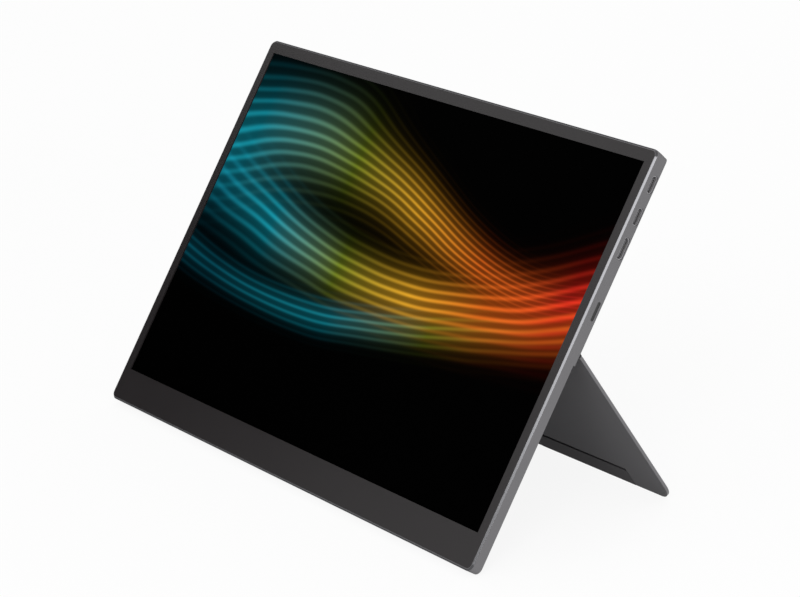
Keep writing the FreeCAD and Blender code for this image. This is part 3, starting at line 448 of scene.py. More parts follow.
def facing_group() -> bpy.types.NodeTree:
    """A mask of the faces whose normal stands at one slope to a direction.

    It is MASK_END less the distance from the slope in widths, held from 0 to 1.

    Returns:
        The node group.
    """
    inputs = {"Normal": "Vector", "Direction": "Vector", "Slope": "Float", "Width": "Float"}
    sheet, given, made = new_group(Effect.FACING, inputs, {"Mask": "Float"})
    turned = sheet.vectors("DOT_PRODUCT", given["Normal"], given["Direction"]).outputs["Value"]
    off = sheet.maths("ABSOLUTE", sheet.maths("SUBTRACT", turned, given["Slope"]))
    share = sheet.maths("DIVIDE", off, given["Width"])
    sheet.fill(made, {"Mask": sheet.maths("SUBTRACT", MASK_END, share, clamp=True)})
    return sheet.tree


def lines_group() -> bpy.types.NodeTree:
    """Long fine lines along the piece, as of brushing, rolling or printed tracks.

    Returns:
        The node group.
    """
    inputs = {"Vector": "Vector", "Stretch": "Vector", "Scale": "Float"}
    sheet, given, made = new_group(Effect.LINES, inputs, {"Lines": "Float"})
    pulled = sheet.vectors("MULTIPLY", given["Vector"], given["Stretch"]).outputs["Vector"]
    sheet.fill(made, {"Lines": sheet.noise(pulled, given["Scale"], LINE_NOISE)})
    return sheet.tree


SWELL_RATE = 0.6
SWELL_START = 1.9
SWELL_SWING = 0.42
SWELL_MEAN = 0.75
STRAND_POWER = 2.4
STRAND_LIGHT = 0.72
STRAND_FLOOR = 0.28


def veil_group() -> bpy.types.NodeTree:
    """A silky wave of light across the picture.

    The wave's middle is level + swing * sin(2 pi (waves * u + phase)), its reach swells and narrows
    along u as a slower sine, the light fades as exp(-q * q) at q reaches from the middle, and fine
    strands run along it as a power of a sine of q.

    Returns:
        The node group.
    """
    names = ("U", "V", "Warp", "Level", "Swing", "Waves", "Phase", "Reach", "Strands")
    sheet, given, made = new_group(Effect.VEIL, {name: "Float" for name in names}, {"Light": "Float"})
    turn = sheet.maths("MULTIPLY_ADD", given["Waves"], given["U"], given["Phase"])
    angle = sheet.maths("MULTIPLY", turn, math.tau)
    middle = sheet.maths("MULTIPLY_ADD", sheet.maths("SINE", angle), given["Swing"], given["Level"])
    slow = sheet.maths("SINE", sheet.maths("MULTIPLY_ADD", angle, SWELL_RATE, SWELL_START))
    swell = sheet.maths("MULTIPLY_ADD", slow, SWELL_SWING, SWELL_MEAN)
    reach = sheet.maths("MULTIPLY", given["Reach"], swell)
    off = sheet.maths("DIVIDE", sheet.maths("SUBTRACT", given["V"], middle), reach)
    off = sheet.maths("ADD", off, given["Warp"])
    square = sheet.maths("MULTIPLY", off, off)
    fade = sheet.maths("POWER", math.e, sheet.maths("MULTIPLY", square, -1.0))
    strand_angle = sheet.maths("MULTIPLY", sheet.maths("MULTIPLY", off, given["Strands"]), math.tau)
    strand = sheet.maths("MULTIPLY_ADD", sheet.maths("SINE", strand_angle), 0.5, 0.5)
    strand = sheet.maths("POWER", strand, STRAND_POWER)
    strand = sheet.maths("MULTIPLY_ADD", strand, STRAND_LIGHT, STRAND_FLOOR)
    sheet.fill(made, {"Light": sheet.maths("MULTIPLY", fade, strand)})
    return sheet.tree


MAKERS = {
    Effect.GRAIN: grain_group,
    Effect.FACING: facing_group,
    Effect.LINES: lines_group,
    Effect.VEIL: veil_group,
}


# Finishes


FULL_LEVEL = 255.0
CURVE_KNEE = 0.04045
CURVE_SLOPE = 12.92
CURVE_OFFSET = 0.055
CURVE_POWER = 2.4


def shade(red: int, green: int, blue: int) -> Colour:
    """The linear colour of a screen colour: straight below the curve's knee, a power above it.

    Args:
        red: Level of red, from 0 to 255.
        green: Level of green.
        blue: Level of blue.

    Returns:
        The linear colour.
    """
    screen = np.array([red, green, blue]) / FULL_LEVEL
    bent = ((screen + CURVE_OFFSET) / (1.0 + CURVE_OFFSET)) ** CURVE_POWER
    return tuple(np.where(screen <= CURVE_KNEE, screen / CURVE_SLOPE, bent).tolist())


def scaled(colour: Colour, share: float) -> tuple[float, float, float, float]:
    """A colour made lighter or darker by a share, with its alpha."""
    return (*(min(channel * share, 1.0) for channel in colour), 1.0)


@dataclass(frozen=True)
class Finish:
    """A plain finish: a colour that wanders a little, grain in relief and smudged gloss."""

    name: str
    colour: Colour
    roughness: float
    metallic: float = 0.0
    specular: float = 0.5
    grain_mm: float = 0.35
    relief_mm: float = 0.004
    mottle: float = 0.06
    mottle_mm: float = 22.0
    smudge: float = 0.05
    body: Body = Body.DISPLAY

    def material(self) -> bpy.types.Material:
        """The Blender material, built at its first use.

        Returns:
            The material.
        """
        known = bpy.data.materials.get(self.name)
        if known:
            return known
        material = bpy.data.materials.new(self.name)
        material.use_nodes = True
        sheet = Sheet(material.node_tree)
        shader = sheet.add("ShaderNodeBsdfPrincipled", {"Specular IOR Level": self.specular})
        sheet.add("ShaderNodeOutputMaterial", {"Surface": shader.outputs["BSDF"]})
        sheet.fill(shader, self.surface(sheet))
        return material

    def drawing(self) -> DrawingFrame:
        """The drawing frame of the finish's body."""
        return FRAMES.stand() if self.body is Body.STAND else FRAMES.display()

    def vector(self, sheet: Sheet) -> Socket:
        """Points of the surface in the body's drawing frame, from the Object coordinates.

        Args:
            sheet: The material's sheet.

        Returns:
            The vector socket.
        """
        drawing = self.drawing()
        inputs = {
            "Vector": sheet.add("ShaderNodeTexCoord").outputs["Object"],
            "Location": drawing.origin(),
            "Rotation": (drawing.turn, 0.0, 0.0),
        }
        return sheet.add("ShaderNodeMapping", inputs, vector_type="TEXTURE").outputs["Vector"]

    def surface(self, sheet: Sheet) -> Inputs:
        """The plain surface: its colour, gloss and relief.

        Args:
            sheet: The material's sheet.

        Returns:
            What fills the shader's inputs, by name.
        """
        grain = self.grained(sheet, self.vector(sheet))
        return {
            "Base Color": self.wandering(sheet, self.colour, grain),
            "Metallic": self.metallic,
            "Roughness": self.smudged(sheet, grain["Smudge"]),
            "Normal": self.raised(sheet, grain["Grain"]),
        }

    def grained(self, sheet: Sheet, vector: Socket) -> bpy.types.NodeOutputs:
        """The shared grain effect at this finish's scale."""
        scales = {"Grain": 1 / (self.grain_mm * MM), "Mottle": 1 / (self.mottle_mm * MM)}
        return sheet.placed(Effect.GRAIN, {"Vector": vector, **scales})

    def wandering(self, sheet: Sheet, colour: Colour, grain: bpy.types.NodeOutputs) -> Socket:
        """A colour that wanders from darker to lighter with the mottling."""
        dark, light = scaled(colour, 1 - self.mottle), scaled(colour, 1 + self.mottle)
        return sheet.blend(grain["Mottle"], dark, light)

    def smudged(self, sheet: Sheet, share: Socket) -> Socket:
        """A roughness that goes from smoother to rougher with a share from 0 to 1."""
        return sheet.between(share, self.roughness - self.smudge, self.roughness + self.smudge)

    def raised(self, sheet: Sheet, height: Socket) -> Socket:
        """The normals of the surface, raised by the finish's relief where a height goes from 0 to 1."""
        inputs = {"Height": height, "Distance": self.relief_mm * MM, "Strength": 1.0}
        return sheet.add("ShaderNodeBump", inputs).outputs["Normal"]


@dataclass(frozen=True)
class FacedMetal(Finish):
    """Blasted metal whose faces at one slope to the front have a finish of their own.

    On the housing these are the bright cut chamfers; on the stand it is the inner face, coloured darker
    as painted shade.
    """

    facet_and_shade: Colour = (0.5, 0.5, 0.5)
    facet_roughness: float = 0.24
    facet_metallic: float = 1.0
    edge_tint: float = 1.0
    slope: float = math.cos(math.pi / 4)
    width: float = 0.1

    def surface(self, sheet: Sheet) -> Inputs:
        """The blasted surface, with the faces at the slope set apart by a mask.

        Args:
            sheet: The material's sheet.

        Returns:
            What fills the shader's inputs, by name.
        """
        grain = self.grained(sheet, self.vector(sheet))
        front = -self.drawing().rotation()[:, Axis.DEEP]
        mask = sheet.placed(Effect.FACING, {
            "Normal": sheet.add("ShaderNodeTexCoord").outputs["Normal"],
            "Direction": tuple(front.tolist()),
            "Slope": self.slope,
            "Width": self.width,
        })["Mask"]
        plain = self.wandering(sheet, self.colour, grain)
        # On the stand this colour is painted shade: the inner face is darker for the shade it lies in
        # under the leaning display.
        apart = self.wandering(sheet, self.facet_and_shade, grain)
        metal = self.metallic
        if metal != self.facet_metallic:
            metal = sheet.between(mask, self.metallic, self.facet_metallic)
        rough = self.smudged(sheet, grain["Smudge"])
        blasted = sheet.maths("MULTIPLY", grain["Grain"], sheet.maths("SUBTRACT", 1.0, mask))
        return {
            "Base Color": sheet.blend(mask, plain, apart),
            "Specular Tint": scaled(WHITE, self.edge_tint),
            "Metallic": metal,
            "Roughness": sheet.between(mask, rough, self.facet_roughness),
            "Normal": self.raised(sheet, blasted),
        }


@dataclass(frozen=True)
class LinedFinish(Finish):
    """A finish with long fine lines along x, as brushed metal or printed tracks have."""

    stretch: Point = (1.0, 40.0, 40.0)
    line_mm: float = 12.0
    contrast: float = 0.18

    def surface(self, sheet: Sheet) -> Inputs:
        """The lined surface, in which the lines give colour, gloss and relief.

        Args:
            sheet: The material's sheet.

        Returns:
            What fills the shader's inputs, by name.
        """
        vector = self.vector(sheet)
        inputs = {"Vector": vector, "Stretch": self.stretch, "Scale": 1 / (self.line_mm * MM)}
        lines = sheet.placed(Effect.LINES, inputs)["Lines"]
        dark, light = scaled(self.colour, 1 - self.contrast), scaled(self.colour, 1 + self.contrast)
        wander = self.wandering(sheet, WHITE, self.grained(sheet, vector))
        return {
            "Base Color": sheet.blend(1.0, sheet.blend(lines, dark, light), wander, "MULTIPLY"),
            "Metallic": self.metallic,
            "Roughness": self.smudged(sheet, lines),
            "Normal": self.raised(sheet, lines),
        }


@dataclass(frozen=True)
class Laminate(Finish):
    """A circuit board: dark lacquer over tracks, with bare tinned pads between them."""

    track: Colour = (0.03, 0.09, 0.05)
    pad: Colour = (0.6, 0.58, 0.52)
    cell_mm: float = 2.4
    scatter: float = 0.7
    track_from: float = 0.3
    pad_within: float = 0.1

    def surface(self, sheet: Sheet) -> Inputs:
        """Lacquer, tracks and pads, by the distance from the middles of scattered cells.

        Args:
            sheet: The material's sheet.

        Returns:
            What fills the shader's inputs, by name.
        """
        vector = self.vector(sheet)
        grain = self.grained(sheet, vector)
        inputs = {"Vector": vector, "Scale": 1 / (self.cell_mm * MM), "Randomness": self.scatter}
        cells = sheet.add("ShaderNodeTexVoronoi", inputs, distance="CHEBYCHEV")
        distance = cells.outputs["Distance"]
        on_track = sheet.maths("GREATER_THAN", distance, self.track_from)
        on_pad = sheet.maths("LESS_THAN", distance, self.pad_within)
        lacquer = self.wandering(sheet, self.colour, grain)
        colour = sheet.blend(on_track, lacquer, (*self.track, 1.0))
        return {
            "Base Color": sheet.blend(on_pad, colour, (*self.pad, 1.0)),
            "Metallic": on_pad,
            "Roughness": self.smudged(sheet, grain["Smudge"]),
            "Normal": self.raised(sheet, on_track),
        }


@dataclass(frozen=True)
class ClearSheet(Finish):
    """A clear or hazy sheet that lets light through."""

    through: float = 0.85

    def surface(self, sheet: Sheet) -> Inputs:
        """The plain surface, which lets light through."""
        return {**super().surface(sheet), "Transmission Weight": self.through}


@dataclass(frozen=True)
class Veil:
    """One wave of light of the picture: its place, swing and strands, and its colours along it."""

    level: float
    swing: float
    waves: float
    phase: float
    reach: float
    strands: float
    strength: float
    colours: Stops

    def light(self, sheet: Sheet, across: Socket, up: Socket, warp: Socket) -> Socket:
        """The wave's light as a colour.

        Args:
            sheet: The material's sheet.
            across: Place across the picture, from 0 to 1.
            up: Place up the picture, from 0 to 1.
            warp: A slow wander that bends the strands.

        Returns:
            The colour socket.
        """
        light = sheet.placed(Effect.VEIL, {
            "U": across, "V": up, "Warp": warp, "Level": self.level, "Swing": self.swing,
            "Waves": self.waves, "Phase": self.phase, "Reach": self.reach, "Strands": self.strands,
        })["Light"]
        light = sheet.maths("MULTIPLY", light, self.strength)
        grey = sheet.add("ShaderNodeCombineColor", {"Red": light, "Green": light, "Blue": light})
        return sheet.blend(1.0, sheet.ramp(across, self.colours), grey.outputs["Color"], "MULTIPLY")


@dataclass(frozen=True)
class PictureGlass(Finish):
    """The display cell: black anti-glare glass that shines with waves of coloured light."""

    width: float = 344.16 * MM
    height: float = 193.59 * MM
    chin: float = 18.58 * MM
    warp_size: float = 2.6
    warp_share: float = 0.9
    veils: tuple[Veil, ...] = ()

    def surface(self, sheet: Sheet) -> Inputs:
        """The black glass and its picture, which is the sum of its waves' light.

        Args:
            sheet: The material's sheet.

        Returns:
            What fills the shader's inputs, by name.
        """
        parts = sheet.add("ShaderNodeSeparateXYZ", {"Vector": self.vector(sheet)}).outputs
        across = sheet.maths("MULTIPLY_ADD", parts["X"], 1 / self.width, 0.5)
        up = sheet.maths("MULTIPLY_ADD", parts["Z"], 1 / self.height, -self.chin / self.height)
        flat = sheet.add("ShaderNodeCombineXYZ", {"X": across, "Y": up})
        wander = sheet.noise(flat.outputs["Vector"], self.warp_size, WARP_NOISE)
        warp = sheet.maths("MULTIPLY", sheet.maths("SUBTRACT", wander, 0.5), self.warp_share)
        light, *others = [veil.light(sheet, across, up, warp) for veil in self.veils]
        for wave in others:
            light = sheet.blend(1.0, light, wave, "ADD")
        return {**super().surface(sheet), "Emission Color": light, "Emission Strength": 1.0}


TEAL = shade(24, 150, 168)
DEEP_TEAL = shade(10, 92, 110)
OLIVE = shade(122, 138, 40)
AMBER = shade(232, 168, 44)
ORANGE = shade(226, 104, 30)
RED = shade(206, 40, 26)
DARK_RED = shade(120, 18, 16)

VEILS = (
    Veil(
        level=0.60, swing=0.13, waves=0.55, phase=0.46, reach=0.17, strands=2.2, strength=0.95,
        colours=(
            (0.02, DEEP_TEAL), (0.20, TEAL), (0.42, OLIVE), (0.62, AMBER), (0.80, ORANGE), (0.97, RED),
        ),
    ),
    Veil(
        level=0.70, swing=0.10, waves=0.75, phase=0.08, reach=0.12, strands=3.1, strength=0.80,
        colours=((0.05, TEAL), (0.35, OLIVE), (0.55, AMBER), (0.75, ORANGE), (0.95, DARK_RED)),
    ),
    Veil(
        level=0.50, swing=0.16, waves=0.42, phase=0.62, reach=0.10, strands=1.6, strength=0.55,
        colours=((0.10, DEEP_TEAL), (0.45, TEAL), (0.70, OLIVE), (0.95, ORANGE)),
    ),
)

HOUSING_METAL = FacedMetal(
    "blasted_grey_metal", shade(122, 121, 123), roughness=0.42, metallic=1.0, grain_mm=0.16,
    relief_mm=0.006, mottle=0.04, facet_and_shade=shade(82, 82, 84), facet_roughness=0.2, edge_tint=0.45,
)
# The stand's inner face gets a darker colour as painted shade, for the shade it lies in under the
# leaning display.
STAND_METAL = FacedMetal(
    "blasted_stand_metal", shade(124, 123, 125), roughness=0.5, metallic=1.0, specular=0.06,
    grain_mm=0.16, relief_mm=0.006, mottle=0.04, body=Body.STAND, facet_and_shade=shade(94, 93, 95),
    facet_roughness=0.62, facet_metallic=0.0, slope=1.0,
)
BEZEL_PLASTIC = Finish(
    "matt_bezel_plastic", shade(34, 31, 32), roughness=0.3, specular=0.275, grain_mm=0.12,
)
PICTURE_GLASS = PictureGlass(
    "picture_glass", shade(1, 1, 1), roughness=0.32, specular=0.001, grain_mm=0.08, relief_mm=0.001,
    veils=VEILS,
)
CLEAR_SHEET = ClearSheet("hazy_clear_sheet", shade(232, 236, 238), roughness=0.25)
WHITE_SHEET = Finish("white_film", shade(236, 236, 232), roughness=0.6, mottle=0.03)
TRAY_METAL = LinedFinish("rolled_tray_metal", shade(176, 178, 180), roughness=0.35, metallic=1.0)
BOARD_LAMINATE = Laminate("lacquered_board", shade(14, 44, 30), roughness=0.4)
CHIP_RESIN = Finish("chip_resin", shade(34, 34, 36), roughness=0.6, grain_mm=0.2, relief_mm=0.006)
FLEX_FILM = LinedFinish(
    "amber_flex_film", shade(150, 92, 30), roughness=0.35, stretch=(30.0, 1.0, 1.0), contrast=0.3,
)
FOAM = Finish(
    "soft_foam", shade(52, 52, 54), roughness=0.9, specular=0.2, grain_mm=0.6, relief_mm=0.12,
)
THERMAL_GEL = Finish(
    "thermal_gel", shade(176, 150, 160), roughness=0.7, grain_mm=0.5, relief_mm=0.02,
)
SOCKET_METAL = LinedFinish("drawn_socket_metal", shade(164, 163, 166), roughness=0.4, metallic=0.45)
KEY_PLASTIC = Finish("key_plastic", shade(40, 40, 42), roughness=0.45, grain_mm=0.14)
BLADE_PLASTIC = Finish("blade_plastic", shade(104, 103, 106), roughness=0.5, grain_mm=0.15)
CONTACT_GOLD = LinedFinish(
    "gold_contacts", shade(168, 152, 118), roughness=0.32, metallic=0.7, line_mm=1.0, contrast=0.08,
)
RAIL_PLASTIC = Finish(
    "black_rail_plastic", shade(26, 26, 27), roughness=0.5, specular=0.4, grain_mm=0.2, body=Body.STAND,
)
HINGE_STEEL = LinedFinish("turned_hinge_steel", shade(140, 140, 144), roughness=0.3, metallic=1.0)
STAND_STEEL = LinedFinish(
    "dark_screw_steel", shade(70, 70, 74), roughness=0.32, metallic=1.0, body=Body.STAND,
)
SOLE_RUBBER = Finish(
    "base_sole_rubber", shade(30, 30, 31), roughness=0.8, specular=0.3, grain_mm=0.25, relief_mm=0.02,
)
STAND_RUBBER = Finish(
    "stand_sole_rubber", shade(66, 64, 66), roughness=0.8, specular=0.2, grain_mm=0.25, relief_mm=0.02,
    body=Body.STAND,
)
SPEAKER_PLASTIC = Finish(
    "speaker_plastic", shade(28, 28, 30), roughness=0.6, grain_mm=0.2, relief_mm=0.01,
)
MEMBRANE = Finish("speaker_membrane", shade(44, 44, 46), roughness=0.5, grain_mm=0.4, relief_mm=0.02)
FLOOR_PAPER = Finish(
    "pale_floor_paper", (0.93, 0.93, 0.93), roughness=0.9, specular=0.0, mottle=0.01, mottle_mm=400.0,
    grain_mm=3.0, relief_mm=0.0,
)
CARD_FELT = Finish("dark_card_felt", shade(20, 20, 20), roughness=0.95, specular=0.0)


# Sub-assemblies


@dataclass
class Housing:
    """The metal housing, its bezel and its base soles."""

    sole_centre: float = 115.9 * MM
    sole_length: float = 90.0 * MM
    sole_front: float = 5.6 * MM
    sole_back: float = 7.5 * MM
    sole_low: float = 0.4 * MM
    sole_high: float = 5.4 * MM
    sole_cut: float = 0.6 * MM
    ribs: int = 30
    rib_share: float = 0.64
    rib_slope: float = 0.12 * MM
    groove_depth: float = 0.4 * MM

    def sole_outline(self) -> np.ndarray:
        """The sole's outline in y and z, trimmed by the floor.

        The floor cuts the drawing plane where place_z + (z - pivot_z) cos a + (y - pivot_y) sin a = 0,
        with a the display's turn.

        Returns:
            Points of shape (6, 2), anticlockwise from the lower front.
        """
        drawing = FRAMES.display()
        _, deep, up = drawing.pivot
        height = drawing.place[Axis.UP]
        sine, cosine = math.sin(drawing.turn), math.cos(drawing.turn)
        floor_height = up - (height + (self.sole_back - deep) * sine) / cosine
        floor_depth = deep - (height + (self.sole_low - up) * cosine) / sine
        return np.array([
            (self.sole_front, self.sole_low),
            (floor_depth, self.sole_low),
            (self.sole_back, floor_height),
            (self.sole_back, self.sole_high - self.sole_cut),
            (self.sole_back - self.sole_cut, self.sole_high),
            (self.sole_front, self.sole_high),
        ])

    def ribbed_sole(self) -> np.ndarray:
        """One sole about x = 0 with ribs across it.

        Full outlines stand at both ends of each rib. Between ribs the outline's back is drawn in by the
        groove's depth, after a short slope.

        Returns:
            Points of shape (stations, columns, 3).
        """
        full = self.sole_outline()
        drawn = full - np.where(full[:, :1] > self.sole_front, (self.groove_depth, 0.0), 0.0)
        pitch = self.sole_length / (self.ribs - 1 + self.rib_share)
        rib = pitch * self.rib_share
        steps = np.array([0.0, rib, rib + self.rib_slope, pitch - self.rib_slope])
        stations = (np.arange(self.ribs)[:, None] * pitch + steps).reshape(-1)
        rings = np.tile(np.stack([full, full, drawn, drawn]), (self.ribs, 1, 1))
        closing = len(steps) // 2
        return lofted_bar(rings[:-closing], stations[:-closing] - self.sole_length / 2)

    def build(self) -> None:
        """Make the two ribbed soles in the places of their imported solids."""
        offsets = np.array([(-self.sole_centre, 0.0, 0.0), (self.sole_centre, 0.0, 0.0)])
        soles = FRAMES.display().to_row(repeated(self.ribbed_sole(), offsets))
        piece = closed_piece("ribbed_base_soles", soles, smooth=False)
        finished(piece, Body.DISPLAY, SOLE_RUBBER)
        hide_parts("base_feet")

    def dress(self) -> None:
        """Put the housing's finishes on."""
        dress(("rear_housing",), HOUSING_METAL)
        dress(("front_bezel",), BEZEL_PLASTIC)
        dress(("bezel_tape", "foam_strips"), FOAM)
        dress(("base_feet",), SOLE_RUBBER)


@dataclass
class ScreenStack:
    """The display cell and the layers of light behind it."""

    def dress(self) -> None:
        """Put the layers' finishes on."""
        dress(("lcd_cell",), PICTURE_GLASS)
        dress(("optical_films", "light_guide"), CLEAR_SHEET)
        dress(("reflector_sheet", "backlight_frame"), WHITE_SHEET)
        dress(("backlight_tray",), TRAY_METAL)
        dress(("led_bar", "panel_driver_board"), BOARD_LAMINATE)
        dress(("driver_flexes", "panel_cable"), FLEX_FILM)


@dataclass
class Electronics:
    """The main board with what sits on it, and the speakers."""

    def dress(self) -> None:
        """Put the boards' and speakers' finishes on."""
        dress(("main_board",), BOARD_LAMINATE)
        dress(("scaler_chip", "board_chips", "power_inductors"), CHIP_RESIN)
        dress(("thermal_pad",), THERMAL_GEL)
        dress(("cable_connectors", "key_switch"), KEY_PLASTIC)
        dress(("board_screws",), HINGE_STEEL)
        dress(("speaker_left", "speaker_right"), SPEAKER_PLASTIC)
        dress(("speaker_membranes",), MEMBRANE)
        dress(("speaker_gaskets",), FOAM)


@dataclass(frozen=True)
class Blade:
    """A socket's blade: its height, and its contacts' pitch and their counts in front and behind."""

    height: float
    pitch: float
    counts: tuple[int, int]


@dataclass
class SideSockets:
    """The sockets and the key in the right side, with gold contacts on the blades."""

    half_width: float = 178.9 * MM
    inset: float = 0.3 * MM
    setback: float = 1.0 * MM
    tip_gap: float = 0.4 * MM
    contact_length: float = 4.6 * MM
    contact_rise: float = 0.05 * MM
    contact_share: float = 0.5
    blade_half: float = 0.35 * MM
    port_depth: float = 5.0 * MM
    columns: int = 8
    blades: tuple[Blade, ...] = (
        Blade(height=203.1 * MM, pitch=0.5 * MM, counts=(12, 12)),
        Blade(height=186.4 * MM, pitch=0.5 * MM, counts=(12, 12)),
        Blade(height=169.7 * MM, pitch=0.8 * MM, counts=(10, 9)),
    )

    def contacts(self, blade: Blade) -> np.ndarray:
        """The contacts of one blade: half-sunk oval bars along x, repeated up both its sides.

        Args:
            blade: The blade.

        Returns:
            Points of shape (copies, 4, columns, 3) in the drawing frame.
        """
        angle = np.arange(self.columns) / self.columns * math.tau
        half = blade.pitch * self.contact_share / 2
        outline = np.stack([self.contact_rise * np.cos(angle), half * np.sin(angle)], axis=1)
        tip = self.half_width - self.inset - self.setback - self.tip_gap
        bar = lofted_bar(np.stack([outline, outline]), np.array([tip - self.contact_length, tip]))
        rows = []
        for side, count in zip((-1, 1), blade.counts):
            offsets = np.zeros((count, 3))
            offsets[:, Axis.DEEP] = self.port_depth + side * self.blade_half
            offsets[:, Axis.UP] = (np.arange(count) - (count - 1) / 2) * blade.pitch + blade.height
            rows.append(repeated(bar, offsets))
        return np.concatenate(rows)

    def build(self) -> None:
        """Make the contacts of every blade as one piece."""
        bars = np.concatenate([self.contacts(blade) for blade in self.blades])
        piece = closed_piece("socket_contacts", FRAMES.display().to_row(bars), smooth=True)
        finished(piece, Body.DISPLAY, CONTACT_GOLD)

    def dress(self) -> None:
        """Put the sockets' finishes on."""
        dress(("oval_socket_upper", "oval_socket_lower", "video_socket"), SOCKET_METAL)
        dress(("socket_blades",), BLADE_PLASTIC)
        dress(("menu_key",), KEY_PLASTIC)


@dataclass
class FoldingStand:
    """The stand's plate and rail with their hinges, screws and soles."""

    half_width: float = 176.45 * MM
    plate_front: float = 6.3 * MM
    screw_inset: float = 24.0 * MM
    screw_height: float = 109.0 * MM
    screw_count: int = 8
    head_radius: float = 1.3 * MM
    head_thick: float = 0.35 * MM
    shank_radius: float = 0.7 * MM
    shank_length: float = 0.85 * MM
    recess_reach: float = 0.85 * MM
    recess_half: float = 0.2 * MM
    recess_deep: float = 0.24 * MM
    edge_round: float = 0.08 * MM
    face_rings: int = 12
    columns: int = 64

    def screw(self) -> np.ndarray:
        """One sunk screw with a cross recess, its head's face at y = 0 and its shank along +y.

        Rings of radius r at depth d are carried round the axis. On the face, d grows by the recess's
        depth where the smaller of |x| and |z| is within the arm's half width and the larger is within
        its reach, and the change is spread over a slope as wide as the arm's half width.

        Returns:
            Points of shape (rings, columns, 3).
        """
        face = np.linspace(0.0, self.head_radius - self.edge_round, self.face_rings)
        radius = np.concatenate([
            face, [self.head_radius, self.head_radius, self.shank_radius, self.shank_radius, 0.0],
        ])
        end = self.head_thick + self.shank_length
        deep = np.concatenate([
            np.zeros_like(face), [self.edge_round, self.head_thick, self.head_thick, end, end],
        ])
        angle = np.arange(self.columns) / self.columns * math.tau
        across = radius[:, None] * np.cos(angle)
        up = radius[:, None] * np.sin(angle)
        slope = self.recess_half
        thin = np.clip((self.recess_half - np.minimum(abs(across), abs(up))) / slope + 0.5, 0, 1)
        long = np.clip((self.recess_reach - np.maximum(abs(across), abs(up))) / slope, 0, 1)
        on_face = (np.arange(radius.size) < self.face_rings)[:, None]
        depth = deep[:, None] + self.recess_deep * thin * long * on_face
        return np.stack([across, depth, up], axis=2)

    def build(self) -> None:
        """Make the rail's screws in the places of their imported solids."""
        first = self.screw_inset - self.half_width
        offsets = np.zeros((self.screw_count, 3))
        offsets[:, Axis.ACROSS] = np.linspace(first, -first, self.screw_count)
        offsets[:, Axis.DEEP] = self.plate_front
        offsets[:, Axis.UP] = self.screw_height
        screws = FRAMES.stand().to_row(repeated(self.screw(), offsets))
        piece = closed_piece("rail_cross_screws", screws, smooth=False)
        finished(piece, Body.STAND, STAND_STEEL)
        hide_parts("rail_screws")

    def dress(self) -> None:
        """Put the stand's finishes on."""
        dress(("stand_plate",), STAND_METAL)
        dress(("stand_rail",), RAIL_PLASTIC)
        dress(("stand_feet",), STAND_RUBBER)
        dress(("rail_screws", "hinge_pin_left", "hinge_pin_right", "friction_washers"), STAND_STEEL)
        dress(("hinge_bracket_left", "hinge_bracket_right", "hinge_screws"), HINGE_STEEL)


# Studio


@dataclass(frozen=True)
class Softbox:
    """A soft square lamp."""

    name: str
    place: Point
    aim: Point
    size: float
    power: float

    def build(self) -> None:
        """Hang the lamp and turn it to its aim."""
        data = bpy.data.lights.new(self.name, "AREA")
        data.energy = self.power
        data.size = self.size
        lamp = linked(self.name, data)
        lamp.location = self.place
        way = Vector(self.aim) - Vector(self.place)
        lamp.rotation_euler = way.to_track_quat("-Z", "Y").to_euler()
        lamp.visible_camera = False
        LOG.info("hung %s", self.name)


